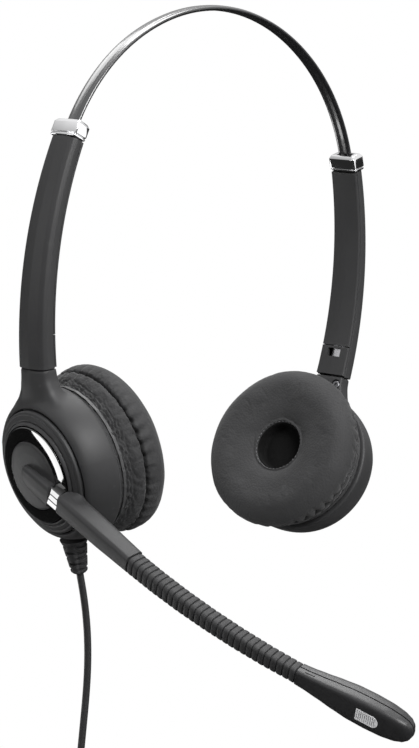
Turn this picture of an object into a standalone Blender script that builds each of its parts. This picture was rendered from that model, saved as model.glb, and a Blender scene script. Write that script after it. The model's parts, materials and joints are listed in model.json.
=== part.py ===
"""Binaural telephone headset with a boom microphone, as separate parts in metres.

Frame: origin under the crown of the headband, +Z up, the wearer faces -Y and +X is the wearer's
left. The boom is on the wearer's right, at -X. Right and left in names are the wearer's.
"""

from math import cos, pi, radians, sin

import bmesh
import bpy
from mathutils import Matrix, Vector

MM = 0.001
GAP = 0.3 * MM

# Arch of the headband and arms: arcs from the ear up to the crown
HALF_SPAN = 62.5 * MM
EAR_LEAN = radians(26.0)
ARM_RADIUS = 141.0 * MM
ARM_ARC = 111.0 * MM
SIDE_RADIUS = 68.0 * MM
SIDE_TURN = radians(35.0)
CROWN_RADIUS = 76.0 * MM

# Headband strip
BAND_HALF_WIDTH = 2.8 * MM
BAND_HALF_DEPTH = 0.95 * MM
SPRING_HALF_WIDTH = 2.0 * MM
SPRING_HALF_DEPTH = 0.25 * MM
SPRING_END = 40.2 * MM
CLIP_SPAN = (39.5 * MM, 46.4 * MM)
SHEATH_END = 46.8 * MM
BAND_STEPS = 16

# Arms, by arc length above the ear
COLLAR_SPAN = (109.1 * MM, 114.8 * MM)
SHELL_SPAN = (34.3 * MM, 108.8 * MM)
COVER_SPAN = (45.3 * MM, 108.6 * MM)
WINDOW_PLATE_SPAN = (34.6 * MM, 45.0 * MM)
WINDOW_SPAN = (41.2 * MM, 44.2 * MM)
WINDOW_HALF_WIDTH = 2.9 * MM
ARM_TOP_HALF = (2.7 * MM, 5.7 * MM)
ARM_END_HALF = (3.2 * MM, 6.4 * MM)
ARM_WALL = 1.1 * MM
NECK_TOP = 34.0 * MM

# Ear capsule: origin at the centre of the hub's rim, z outward along the capsule's axis
CAPSULE_SPAN = 68.4 * MM
CAPSULE_Y = -1.0 * MM
CAPSULE_Z = -1.8 * MM
CAPSULE_CANT = radians(20.0)
CAPSULE_TOE = radians(8.0)
DOME_RADIUS = 25.6 * MM
DOME_EDGE_Z = -13.0 * MM
RECESS_RADIUS = 21.3 * MM
HUB_FLOOR_Z = -3.2 * MM
CAP_RADIUS = 12.0 * MM
BUSH_BORE = 6.0 * MM
BAFFLE_RADIUS = 23.6 * MM
CUSHION_RADIUS = 27.8 * MM
CUSHION_HOLE = 8.6 * MM
CUSHION_FRONT_Z = -32.2 * MM

# Boom: a points along the boom, in the hub's plane
BOOM_DROP = radians(23.0)
BOOM_AXIS_Z = 2.85 * MM
BOOM_END = 51.0 * MM
LINKS = 6
LINK_LENGTH = 11.3 * MM
LINK_GAP = 0.9 * MM
LINK_REST_BEND = radians(16.5) / (LINKS + 1)
PORT_AT = 26.2 * MM

# Microphone sections in millimetres: distance along, half width, half thickness
MIC_SHAPE = [
    (0.5, 2.8, 2.75), (3.5, 2.95, 2.85), (8.5, 3.45, 3.15), (14.0, 4.15, 3.5), (19.5, 4.7, 3.8),
    (25.5, 4.95, 3.85), (31.0, 4.85, 3.8), (35.3, 4.4, 3.5), (38.2, 3.5, 2.8), (40.0, 1.9, 1.5),
]

# Cable and plug
BOOT_TOP_Y = -25.9 * MM
BOOT_LENGTH = 11.8 * MM
BOOT_Z = -8.2 * MM
CABLE_RADIUS = 1.2 * MM
CABLE_DROP = 84.0 * MM
PLUG_LENGTH = 42.0 * MM

SEGMENTS = 28
SMALL_SEGMENTS = 16
MERGE = 0.000001

PARTS = "binaural_boom_headset"
CUTTERS = "cutters"


# ---------------------------------------------------------------- scene and materials

def clear_scene():
    for obj in list(bpy.data.objects):
        bpy.data.objects.remove(obj, do_unlink=True)


def collection(name):
    group = bpy.data.collections.new(name)
    bpy.context.scene.collection.children.link(group)
    return group


def material(name, colour, roughness, metallic=0.0):
    mat = bpy.data.materials.new(name)
    mat.use_nodes = True
    shader = mat.node_tree.nodes["Principled BSDF"]
    shader.inputs["Base Color"].default_value = (*colour, 1.0)
    shader.inputs["Roughness"].default_value = roughness
    shader.inputs["Metallic"].default_value = metallic
    mat.diffuse_color = (*colour, 1.0)
    return mat


def make_materials():
    return {
        "soft_touch": material("soft_touch_black", (0.035, 0.035, 0.037), 0.62),
        "band": material("satin_black_band", (0.02, 0.02, 0.022), 0.35),
        "gloss": material("gloss_black", (0.006, 0.006, 0.007), 0.08),
        "chrome": material("chrome", (0.86, 0.87, 0.88), 0.08, 1.0),
        "steel": material("spring_steel", (0.55, 0.56, 0.58), 0.32, 1.0),
        "leather": material("leatherette", (0.03, 0.03, 0.032), 0.55),
        "cloth": material("speaker_cloth", (0.008, 0.008, 0.009), 0.9),
        "plastic": material("inner_plastic", (0.045, 0.045, 0.048), 0.5),
        "rubber": material("black_rubber", (0.018, 0.018, 0.019), 0.7),
        "cone": material("speaker_film", (0.5, 0.48, 0.42), 0.4),
        "magnet": material("magnet_steel", (0.42, 0.43, 0.45), 0.4, 1.0),
        "board": material("terminal_board", (0.02, 0.13, 0.06), 0.45),
    }


# ---------------------------------------------------------------- mesh helpers

def new_object(name, bm, mat=None):
    mesh = bpy.data.meshes.new(name)
    bmesh.ops.recalc_face_normals(bm, faces=bm.faces)
    bm.to_mesh(mesh)
    bm.free()
    mesh.shade_smooth()
    mesh.set_sharp_from_angle(angle=radians(35))
    obj = bpy.data.objects.new(name, mesh)
    if mat is None:
        cutters.objects.link(obj)
        obj.hide_render = True
        obj.display_type = "WIRE"
    else:
        parts.objects.link(obj)
        mesh.materials.append(mat)
    return obj


def side_faces(bm, rings):
    for lower, upper in zip(rings, rings[1:]):
        for i in range(len(lower)):
            j = (i + 1) % len(lower)
            bm.faces.new((lower[i], lower[j], upper[j], upper[i]))


def loft(name, rings, mat=None):
    """Closed solid through rings of points, with a flat cap at each end."""
    bm = bmesh.new()
    loops = [[bm.verts.new(p) for p in ring] for ring in rings]
    side_faces(bm, loops)
    bm.faces.new(loops[0])
    bm.faces.new(loops[-1])
    bmesh.ops.triangulate(bm, faces=bm.faces)
    return new_object(name, bm, mat)


def tube_loft(name, outer, inner, mat=None):
    """Closed solid between an outer and an inner skin, open at both ends."""
    bm = bmesh.new()
    outside = [[bm.verts.new(p) for p in ring] for ring in outer]
    inside = [[bm.verts.new(p) for p in ring] for ring in inner]
    side_faces(bm, outside)
    side_faces(bm, inside)
    side_faces(bm, [outside[0], inside[0]])
    side_faces(bm, [outside[-1], inside[-1]])
    return new_object(name, bm, mat)


def lathe(name, profile, mat=None, closed=True, steps=SEGMENTS):
    """Turned solid about z. The profile's outer side runs from top to bottom."""
    bm = bmesh.new()
    verts = [bm.verts.new((r, 0.0, z)) for r, z in profile]
    for a, b in zip(verts, verts[1:]):
        bm.edges.new((a, b))
    if closed:
        bm.edges.new((verts[-1], verts[0]))
    obj = new_object(name, bm, mat)
    screw = obj.modifiers.new("turn", "SCREW")
    screw.axis = "Z"
    screw.angle = 2 * pi
    screw.steps = steps
    screw.render_steps = steps
    screw.use_merge_vertices = True
    screw.merge_threshold = MERGE
    screw.use_smooth_shade = True
    return obj


def turned(name, profile, mat, steps=SEGMENTS, closed=False):
    """Lathe from a profile given in millimetres."""
    return lathe(name, [(r * MM, z * MM) for r, z in profile], mat, closed, steps)


def cylinder(name, radius, low, high, mat=None, steps=SEGMENTS):
    return lathe(name, [(0, high), (radius, high), (radius, low), (0, low)], mat, False, steps)


def boolean(obj, tool, operation):
    mod = obj.modifiers.new(operation.lower() + "_" + tool.name, "BOOLEAN")
    mod.operation = operation
    mod.object = tool
    mod.solver = "EXACT"


def hold(obj, frame, place=None):
    """Parent obj to a frame's empty. place is its matrix in world coordinates, else the frame's."""
    obj.parent = frame
    if place is not None:
        obj.matrix_basis = frame_matrix[frame.name].inverted() @ place
    return obj


def hold_world(obj, frame):
    """Parent obj, whose mesh is in world coordinates, to the frame's empty."""
    return hold(obj, frame, Matrix.Identity(4))


def frame_empty(name, matrix, parent=None):
    empty = bpy.data.objects.new(name, None)
    empty.empty_display_size = 0.01
    parts.objects.link(empty)
    frame_matrix[name] = matrix
    if parent is None:
        empty.matrix_basis = matrix
    else:
        empty.parent = parent
        empty.matrix_basis = frame_matrix[parent.name].inverted() @ matrix
    return empty


# ---------------------------------------------------------------- sections

def oval(half_a, half_b, power=2.6, count=20, shift=0.0):
    """Superellipse ring in a plane, as (a, b) pairs."""
    ring = []
    for k in range(count):
        turn = 2 * pi * (k + shift) / count
        c, s = cos(turn), sin(turn)
        ring.append((
            half_a * abs(c) ** (2 / power) * (1 if c >= 0 else -1),
            half_b * abs(s) ** (2 / power) * (1 if s >= 0 else -1),
        ))
    return ring


def box_ring(low_u, high_u, half_v, corner):
    """Rectangle with cut corners, as (u, v) pairs."""
    return [
        (low_u, -half_v + corner), (low_u + corner, -half_v),
        (high_u - corner, -half_v), (high_u, -half_v + corner),
        (high_u, half_v - corner), (high_u - corner, half_v),
        (low_u + corner, half_v), (low_u, half_v - corner),
    ]


def arm_section(half_u, half_v):
    """C section of the arm shell: crowned outside, open towards the head."""
    wall_u = half_u - ARM_WALL
    wall_v = half_v - ARM_WALL
    left = [
        (-half_u, -wall_v), (-half_u, -half_v + 0.4 * MM), (-half_u + 0.5 * MM, -half_v),
        (half_u - 1.9 * MM, -half_v), (half_u - 0.7 * MM, -half_v + 0.6 * MM),
        (half_u - 0.05 * MM, -half_v + 2.1 * MM),
    ]
    right = [(u, -v) for u, v in reversed(left)]
    crown = [(half_u + 0.35 * MM, 0.0)]
    return left + crown + right + [(wall_u, wall_v), (wall_u, -wall_v)]


# ---------------------------------------------------------------- arch geometry

def arch_arcs():
    top_turn = pi / 2 - (ARM_ARC / ARM_RADIUS - EAR_LEAN) - SIDE_TURN
    return [
        (ARM_RADIUS, ARM_ARC),
        (SIDE_RADIUS, SIDE_RADIUS * SIDE_TURN),
        (CROWN_RADIUS, CROWN_RADIUS * top_turn),
    ]


def arch_raw(t):
    """Distance out, height and lean of the centreline at arc length t above the ear."""
    out, up, lean = HALF_SPAN, 0.0, -EAR_LEAN
    for radius, length in arch_arcs():
        step = min(t, length)
        turned = lean + step / radius
        out += radius * (cos(turned) - cos(lean))
        up += radius * (sin(turned) - sin(lean))
        lean = turned
        t -= step
        if t <= 0:
            break
    return out, up, lean


def half_arch():
    return sum(length for _, length in arch_arcs())


def band_stations(start):
    """Arc lengths from start to half a step short of the crown, so a facet spans the crown."""
    step = (half_arch() - start) / (BAND_STEPS - 0.5)
    return [start + step * k for k in range(BAND_STEPS)]


def crown_height():
    """Height of the sheath's flat underside at the crown, above the ear level."""
    _, up, lean = arch_raw(band_stations(SHEATH_END)[-1])
    return up - BAND_HALF_DEPTH * sin(lean)


def arch(side, t):
    """Centreline point and outward normal on one side, in world coordinates."""
    out, up, lean = arch_raw(t)
    point = Vector((side * out, 0.0, up - crown_height()))
    return point, Vector((side * cos(lean), 0.0, sin(lean)))


def arch_ring(side, t, section):
    point, normal = arch(side, t)
    return [point + normal * u + Vector((0.0, v, 0.0)) for u, v in section]


def spread(span, count):
    return [span[0] + (span[1] - span[0]) * k / (count - 1) for k in range(count)]


def arm_half(t):
    """Half depth and half width of the arm at arc length t."""
    share = (t - NECK_TOP) / (SHELL_SPAN[1] - NECK_TOP)
    return [a + (b - a) * share for a, b in zip(ARM_END_HALF, ARM_TOP_HALF)]


# ---------------------------------------------------------------- frames

def arm_frame_matrix(side):
    centre = Vector((side * (HALF_SPAN - ARM_RADIUS * cos(EAR_LEAN)), 0.0,
                     ARM_RADIUS * sin(EAR_LEAN) - crown_height()))
    return Matrix.Translation(centre)


def capsule_matrix(side):
    outward = Vector((side * cos(CAPSULE_CANT) * cos(CAPSULE_TOE),
                      cos(CAPSULE_CANT) * sin(CAPSULE_TOE), -sin(CAPSULE_CANT)))
    up = Vector((-outward.z, 0.0, outward.x)) * side
    up.normalize()
    along = up.cross(outward)
    turn = Matrix((along, up, outward)).transposed().to_4x4()
    place = Vector((side * CAPSULE_SPAN, CAPSULE_Y, CAPSULE_Z - crown_height()))
    return Matrix.Translation(place) @ turn


def boom_matrix():
    """x along the boom, z outward, at the hub's centre."""
    return capsule_matrix(-1) @ Matrix.Rotation(-BOOM_DROP, 4, "Z")


def link_matrix(index):
    """Frame of gooseneck hinge number index: x along the link that it starts."""
    at = Matrix.Translation((BOOM_END + LINK_GAP / 2, 0.0, BOOM_AXIS_Z))
    bend = Matrix.Rotation(LINK_REST_BEND, 4, "Y")
    for _ in range(index):
        at = at @ bend @ Matrix.Translation((LINK_LENGTH, 0.0, 0.0))
    return boom_matrix() @ at @ bend


# ---------------------------------------------------------------- headband

def make_sheath(mats):
    outer_section = [
        (-BAND_HALF_DEPTH, -2.3 * MM), (-0.45 * MM, -BAND_HALF_WIDTH), (0.4 * MM, -BAND_HALF_WIDTH),
        (BAND_HALF_DEPTH, -1.2 * MM), (BAND_HALF_DEPTH, 1.2 * MM), (0.4 * MM, BAND_HALF_WIDTH),
        (-0.45 * MM, BAND_HALF_WIDTH), (-BAND_HALF_DEPTH, 2.3 * MM),
    ]
    slot_v = SPRING_HALF_WIDTH + 0.2 * MM
    slot_u = SPRING_HALF_DEPTH + 0.2 * MM
    inner_section = [
        (-slot_u, -1.3 * MM), (-slot_u, -slot_v), (slot_u, -slot_v), (slot_u, -0.8 * MM),
        (slot_u, 0.8 * MM), (slot_u, slot_v), (-slot_u, slot_v), (-slot_u, 1.3 * MM),
    ]
    stations = band_stations(SHEATH_END)
    outer = [arch_ring(-1, t, outer_section) for t in stations]
    outer += [arch_ring(1, t, outer_section) for t in reversed(stations)]
    inner = [arch_ring(-1, t, inner_section) for t in stations]
    inner += [arch_ring(1, t, inner_section) for t in reversed(stations)]
    tube_loft("headband_sheath", outer, inner, mats["band"])


def make_spring(mats):
    section = [
        (-SPRING_HALF_DEPTH, -SPRING_HALF_WIDTH), (SPRING_HALF_DEPTH, -SPRING_HALF_WIDTH),
        (SPRING_HALF_DEPTH, SPRING_HALF_WIDTH), (-SPRING_HALF_DEPTH, SPRING_HALF_WIDTH),
    ]
    stations = [SPRING_END, (SPRING_END + SHEATH_END) / 2] + band_stations(SHEATH_END)
    rings = [arch_ring(-1, t, section) for t in stations]
    rings += [arch_ring(1, t, section) for t in reversed(stations)]
    loft("headband_spring", rings, mats["steel"])


def make_band_clip(side, label, mats):
    stations = spread(CLIP_SPAN, 3)
    outer = box_ring(-1.0 * MM, 1.0 * MM, 2.9 * MM, 0.35 * MM)
    inner = box_ring(-0.45 * MM, 0.45 * MM, 2.25 * MM, 0.05 * MM)
    tube_loft(label + "_band_clip", [arch_ring(side, t, outer) for t in stations],
              [arch_ring(side, t, inner) for t in stations], mats["steel"])


# ---------------------------------------------------------------- arms

def make_collar(side, label, frame, mats):
    low, high = COLLAR_SPAN
    half_u, half_v = ARM_TOP_HALF
    steps = [(low, -0.2), (low + 0.4 * MM, 0.15), (low + 2.6 * MM, 0.15), (low + 3.1 * MM, 0.45),
             (low + 4.7 * MM, 0.45), (high, -0.15)]
    slot = box_ring(-BAND_HALF_DEPTH - 0.35 * MM, BAND_HALF_DEPTH + 0.35 * MM,
                    BAND_HALF_WIDTH + 0.4 * MM, 0.3 * MM)
    outer = []
    for t, swell in steps:
        grow = swell * MM
        outer.append(arch_ring(side, t, box_ring(-half_u - grow, half_u + grow, half_v + grow, 1.3 * MM)))
    inner = [arch_ring(side, t, slot) for t, _ in steps]
    hold_world(tube_loft(label + "_collar", outer, inner, mats["chrome"]), frame)


def make_arm_shell(side, label, frame, mats):
    rings = [arch_ring(side, t, arm_section(*arm_half(t))) for t in spread(SHELL_SPAN, 13)]
    hold_world(loft(label + "_arm_shell", rings, mats["soft_touch"]), frame)


def cover_ring(side, t):
    half_u, half_v = arm_half(t)
    reach = half_v - ARM_WALL - GAP
    section = [(-half_u, -reach), (-half_u + ARM_WALL, -reach), (-half_u + ARM_WALL, reach),
               (-half_u, reach)]
    return arch_ring(side, t, section)


def make_arm_cover(side, label, frame, mats):
    rings = [cover_ring(side, t) for t in spread(COVER_SPAN, 12)]
    hold_world(loft(label + "_arm_inner_cover", rings, mats["soft_touch"]), frame)


def make_window_plate(side, label, frame, mats):
    rings = [cover_ring(side, t) for t in spread(WINDOW_PLATE_SPAN, 3)]
    plate = hold_world(loft(label + "_window_plate", rings, mats["soft_touch"]), frame)
    section = box_ring(-6 * MM, -0.6 * MM, WINDOW_HALF_WIDTH, 0.3 * MM)
    opening = loft(label + "_window_cutter", [arch_ring(side, t, section) for t in WINDOW_SPAN])
    hold_world(opening, frame)
    boolean(plate, opening, "DIFFERENCE")


# ---------------------------------------------------------------- ear capsules

def neck_rings(side):
    """Sections that run from the arm's end into the dome, turning into the capsule's frame."""
    capsule = capsule_matrix(side)
    turn = capsule.to_3x3()
    lateral = turn @ Vector((side, 0.0, 0.0))
    outward = turn @ Vector((0.0, 0.0, 1.0))
    widths = [6.4, 6.5, 7.4, 9.8, 13.6, 17.4, 20.4, 22.4]
    outs = [3.2, 3.25, 3.3, 3.4, 3.5, 3.5, 3.4, 3.2]
    ins = [3.2, 3.3, 3.7, 4.4, 5.2, 5.8, 6.2, 6.4]
    stations = [34.0, 30.5, 27.0, 23.5, 20.0, 16.5, 13.0, 9.0]
    rings = []
    for t, half_v, out, inward in zip(stations, widths, outs, ins):
        share = (NECK_TOP - t * MM) / (NECK_TOP - stations[-1] * MM)
        share = share * share * (3 - 2 * share)
        point, normal = arch(side, t * MM)
        seat = capsule @ Vector((0.0, (t + 1.0) * MM, -6.2 * MM))
        centre = point.lerp(seat, share)
        across = Vector((0.0, 1.0, 0.0)).lerp(lateral, share).normalized()
        away = normal.lerp(outward, share).normalized()
        ring = []
        for a, b in oval(1.0, 1.0, 3.4, 20, 0.5):
            depth = out if b > 0 else inward
            ring.append(centre + across * (a * half_v * MM) + away * (b * depth * MM))
        rings.append(ring)
    return rings


def make_housing(side, label, capsule, mats):
    """Domed shell and neck in one moulding, hollow behind the hub's floor."""
    recess = RECESS_RADIUS / MM
    floor = HUB_FLOOR_Z / MM
    dome = DOME_RADIUS / MM
    profile = [(recess, -0.9), (21.7, -0.9), (22.5, -1.2), (23.6, -2.6), (24.6, -5.2), (25.3, -8.6),
               (dome, -11.8), (dome - 0.2, DOME_EDGE_Z / MM), (23.95, DOME_EDGE_Z / MM), (23.4, -8.2),
               (22.4, -5.7), (21.0, -4.9), (BUSH_BORE / MM, -4.9), (BUSH_BORE / MM, floor),
               (recess, floor)]
    housing = hold(turned(label + "_housing", profile, mats["soft_touch"], closed=True), capsule)
    neck = hold_world(loft(label + "_neck", neck_rings(side)), capsule)
    hollow = [(0, 12.0), (recess + 0.2, 12.0), (recess + 0.2, -4.0), (22.8, -5.3), (24.0, -8.0),
              (24.4, -12.0), (24.4, -20.0), (0, -20.0)]
    inside = turned(label + "_inside_cutter", hollow, None)
    boolean(neck, hold(inside, capsule), "DIFFERENCE")
    boolean(housing, neck, "UNION")
    for sign, where in ((-1, "front"), (1, "rear")):
        seat = screw_seat(side, sign)
        hole = [(0, 4.0), (1.95, 4.0), (1.95, -0.6), (0.95, -0.6), (0.95, -4.1), (0, -4.1)]
        cutter = turned(label + "_seat_cutter_" + where, hole, None, SMALL_SEGMENTS)
        boolean(housing, hold(cutter, capsule, seat), "DIFFERENCE")
        make_neck_screw(label + "_neck_screw_" + where, seat, capsule, mats)


def screw_seat(side, sign):
    """Matrix at a neck screw: z points from the neck towards the head."""
    point, normal = arch(side, 30.9 * MM)
    away = -normal
    across = Vector((0.0, 1.0, 0.0))
    turn = Matrix((across.cross(away), across, away)).transposed().to_4x4()
    return Matrix.Translation(point + away * (2.3 * MM) + across * (sign * 4.0 * MM)) @ turn


def make_neck_screw(name, seat, capsule, mats):
    profile = [(0, 0.75), (1.3, 0.75), (1.6, 0.5), (1.6, -0.3), (0.65, -0.3), (0.65, -3.8), (0, -3.8)]
    hold(turned(name, profile, mats["steel"], SMALL_SEGMENTS), capsule, seat)


def make_baffle(label, capsule, mats):
    """Speaker plate: closes the dome and carries the flange that the cushion's skirt grips."""
    profile = [(13.2, -13.4), (BAFFLE_RADIUS / MM, -13.4), (BAFFLE_RADIUS / MM, -14.5), (24.7, -14.5),
               (24.7, -15.5), (13.2, -15.5)]
    hold(turned(label + "_baffle", profile, mats["plastic"], closed=True), capsule)


def make_speaker(label, capsule, mats):
    frame = [(8.3, -9.2), (10.4, -9.2), (12.8, -11.6), (12.8, -15.3), (12.2, -15.3), (12.2, -12.2),
             (10.0, -10.2), (8.3, -10.2)]
    hold(turned(label + "_speaker_frame", frame, mats["plastic"], SMALL_SEGMENTS, True), capsule)
    magnet = [(0, -7.4), (7.4, -7.4), (8.0, -8.0), (8.0, -11.4), (0, -11.4)]
    hold(turned(label + "_speaker_magnet", magnet, mats["magnet"], SMALL_SEGMENTS), capsule)
    film = [(0, -12.6), (4.2, -13.4), (8.0, -13.0), (11.8, -14.2), (11.8, -14.6), (8.0, -13.4),
            (4.2, -13.8), (0, -13.0)]
    hold(turned(label + "_speaker_diaphragm", film, mats["cone"], SMALL_SEGMENTS), capsule)
    cloth = [(0, -16.4), (8.2, -16.4), (8.2, -23.6), (7.4, -24.4), (4.0, -24.9), (0, -25.0)]
    hold(turned(label + "_speaker_cloth", cloth, mats["cloth"], SMALL_SEGMENTS), capsule)


def make_cushion(label, capsule, mats):
    """Plain closed ring with the cushion's outer size."""
    hole = CUSHION_HOLE / MM
    rim = CUSHION_RADIUS / MM
    front = CUSHION_FRONT_Z / MM
    profile = [(hole, -16.0), (24.2, -16.0), (26.2, -18.0), (rim, -21.5), (rim - 0.2, -25.0),
               (25.4, -28.6), (22.9, front + 1.0), (20.8, front), (18.2, front), (14.6, front + 0.5),
               (11.4, front + 1.2), (9.2, front + 2.3), (hole, front + 3.4)]
    hold(turned(label + "_ear_cushion", profile, mats["leather"], closed=True), capsule)


# ---------------------------------------------------------------- plain hub on the left capsule

def make_plain_hub(capsule, mats):
    cover = [(0, -1.5), (15.6, -1.5), (15.6, 1.8), (15.9, 2.0), (16.6, 1.5), (16.9, 0.9), (17.5, 0.8),
             (18.6, 0.2), (19.0, -0.2), (19.0, -2.9), (0, -2.9)]
    hold(turned("left_hub_cover", cover, mats["soft_touch"]), capsule)
    make_hub_ring("left_hub_ring", capsule, mats)
    make_hub_cap("left_hub_cap", capsule, mats)


def make_hub_ring(name, frame, mats):
    profile = [(12.3, 2.8), (12.6, 3.0), (15.0, 2.5), (15.3, 2.2), (15.3, -1.2), (12.3, -1.2)]
    return hold(turned(name, profile, mats["gloss"], closed=True), frame)


def make_hub_cap(name, frame, mats):
    rim = CAP_RADIUS / MM
    profile = [(0, 4.1), (6.0, 3.95), (11.2, 3.5), (rim, 3.0), (rim, -1.2), (10.8, -1.2), (10.8, 1.9),
               (0, 1.9)]
    return hold(turned(name, profile, mats["soft_touch"]), frame)


# ---------------------------------------------------------------- boom hub on the right capsule

def make_pivot(capsule, mats):
    bush = [(2.3, -3.3), (5.7, -3.3), (5.7, -5.2), (8.0, -5.2), (8.0, -6.3), (2.3, -6.3)]
    hold(turned("boom_pivot_bush", bush, mats["plastic"], SMALL_SEGMENTS, True), capsule)
    washer = [(6.6, -2.75), (10.0, -2.75), (10.0, -2.95), (6.6, -2.95)]
    hold(turned("boom_friction_washer", washer, mats["steel"], SMALL_SEGMENTS, True), capsule)
    screw = [(0, 0.6), (3.6, 0.6), (4.0, 0.2), (4.0, -0.9), (2.0, -0.9), (2.0, -6.0), (0, -6.0)]
    hold(turned("boom_pivot_screw", screw, mats["steel"], SMALL_SEGMENTS), capsule)


def ridge(name, frame, start, base, end):
    """Teardrop ridge along the boom: solid from the base height up to the crest."""
    outline = [(1.6, 0.7, 4.2), (3.4, 2.2, 4.9), (6.0, 3.1, 5.6), (10.0, 3.8, 6.2), (16.0, 4.0, 6.5),
               (24.0, 4.0, 6.5), (36.0, 3.85, 6.4), (BOOM_END / MM, 3.7, 6.3)]
    rings = []
    for a, half, top in [row for row in outline if start <= row[0] <= end + MERGE]:
        ring = [(a, -half + 0.6, base), (a, half - 0.6, base)]
        for k in range(9):
            turn = pi * k / 8
            c = cos(turn)
            rise = 0.38 + 0.62 * sin(turn) ** 0.7
            ring.append((a, half * abs(c) ** 0.75 * (1 if c >= 0 else -1), base + (top - base) * rise))
        rings.append([Vector(p) * MM for p in ring])
    return hold(loft(name, rings), frame)


def ring_cutter(name, inner, frame):
    """Everything outside a radius."""
    profile = [(inner, 12.0), (90.0, 12.0), (90.0, -8.0), (inner, -8.0)]
    return hold(turned(name, profile, None, closed=True), frame)


def make_boom_hub(boom, mats):
    cap = make_hub_cap("boom_hub_cap", boom, mats)
    boolean(cap, ridge("cap_ridge", boom, 0, 2.2, 16), "UNION")
    boolean(cap, ring_cutter("cap_outer_cutter", CAP_RADIUS / MM, boom), "DIFFERENCE")
    ring = make_hub_ring("boom_hub_ring", boom, mats)
    boolean(ring, ridge("ring_ridge", boom, 6, -0.7, 24), "UNION")
    core = cylinder("ring_inner_cutter", CAP_RADIUS + GAP, -8 * MM, 12 * MM)
    boolean(ring, hold(core, boom), "DIFFERENCE")
    boolean(ring, ring_cutter("ring_outer_cutter", 15.3, boom), "DIFFERENCE")


def make_boom_arm(boom, mats):
    """Turning hub ring and the rigid boom, in one moulding."""
    profile = [(2.4, -1.5), (15.6, -1.5), (15.6, 1.8), (15.9, 2.0), (16.6, 1.5), (16.9, 0.9),
               (17.5, 0.8), (18.6, 0.2), (19.0, -0.2), (19.0, -2.4), (2.4, -2.4)]
    arm = hold(turned("boom_arm", profile, mats["soft_touch"], closed=True), boom)
    boolean(arm, ridge("arm_ridge", boom, 12, -0.9, BOOM_END / MM), "UNION")
    core = cylinder("arm_inner_cutter", 15.6 * MM, -1.5 * MM, 12 * MM)
    boolean(arm, hold(core, boom), "DIFFERENCE")


# ---------------------------------------------------------------- gooseneck and microphone

def make_link(index, frame, mats):
    """One ribbed length of the gooseneck sleeve."""
    low = LINK_GAP / 2
    high = LINK_LENGTH - LINK_GAP / 2
    ribs = 3
    pitch = (high - low) / ribs
    size = 3.3 - 0.1 * index
    stations = [(low, size - 0.55)]
    for k in range(ribs):
        start = low + k * pitch
        stations += [(start + 0.2 * pitch, size), (start + 0.75 * pitch, size),
                     (start + pitch, size - 0.45)]
    rings = []
    for x, half in stations:
        rings.append([Vector((x, a * MM, b * MM)) for a, b in oval(half, half * 0.95, 2.8, 12, 0.5)])
    hold(loft("gooseneck_sleeve_%d" % (index + 1), rings, mats["rubber"]), frame)


def mic_ring(x, half_a, half_b, side):
    """Half superellipse on one side of the split plane."""
    flat = 0.15
    ring = [(half_a, flat), (-half_a, flat)]
    for k in range(1, 10):
        turn = pi - pi * k / 10
        c, s = cos(turn), sin(turn)
        ring.append((half_a * abs(c) ** 0.8 * (1 if c >= 0 else -1), flat + (half_b - flat) * s ** 0.75))
    return [Vector((x, a, side * b)) * MM for a, b in ring]


def make_mic_shell(name, side, frame, mats):
    """Shell on the outer (1) or inner (-1) side of the split, with a pocket and a grille seat."""
    rings = [mic_ring(x, a, b, side) for x, a, b in MIC_SHAPE]
    shell = hold(loft(name, rings, mats["soft_touch"]), frame)
    pocket = cylinder(name + "_pocket_cutter", 3.3 * MM, -2.5 * MM, 2.5 * MM, None, SMALL_SEGMENTS)
    port = frame_matrix[frame.name] @ Matrix.Translation((PORT_AT, 0, 0))
    boolean(shell, hold(pocket, frame, port), "DIFFERENCE")
    seat = grille_loft(name + "_seat_cutter", 4.1, 2.4, 3.0, 6.0, side)
    boolean(shell, hold(seat, frame, port), "DIFFERENCE")
    throat = grille_loft(name + "_throat_cutter", 2.6, 1.4, 2.0, 3.2, side)
    boolean(shell, hold(throat, frame, port), "DIFFERENCE")


def grille_loft(name, half_x, half_y, low, high, side, mat=None):
    """D-shaped block, flat towards the boom and round towards the tip."""
    outline = [(-half_x, -half_y), (half_x - half_y, -half_y)]
    for k in range(1, 8):
        turn = -pi / 2 + pi * k / 8
        outline.append((half_x - half_y + half_y * cos(turn), half_y * sin(turn)))
    outline += [(half_x - half_y, half_y), (-half_x, half_y)]
    rings = [[Vector((x, y, side * z)) * MM for x, y in outline] for z in (low, high)]
    return loft(name, rings, mat)


def make_mic_parts(frame, mats):
    port = frame_matrix[frame.name] @ Matrix.Translation((PORT_AT, 0, 0))
    for name, side in (("mic_outer_grille", 1), ("mic_inner_grille", -1)):
        hold(grille_loft(name, 3.8, 2.1, 3.3, 3.75, side, mats["steel"]), frame, port)
    element = [(0, 1.0), (2.7, 1.0), (3.0, 0.7), (3.0, -1.1), (0, -1.1)]
    hold(turned("mic_element", element, mats["magnet"], SMALL_SEGMENTS), frame, port)
    foam = [(0, 2.1), (2.8, 2.1), (2.8, 1.3), (0, 1.3)]
    hold(turned("mic_foam_disc", foam, mats["cloth"], SMALL_SEGMENTS), frame, port)


# ---------------------------------------------------------------- cable, plug, terminal board

def boot_matrix():
    """z runs down the strain relief, away from the dome."""
    capsule = capsule_matrix(-1)
    return capsule @ Matrix.Translation((0, BOOT_TOP_Y, BOOT_Z)) @ Matrix.Rotation(pi / 2, 4, "X")


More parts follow.
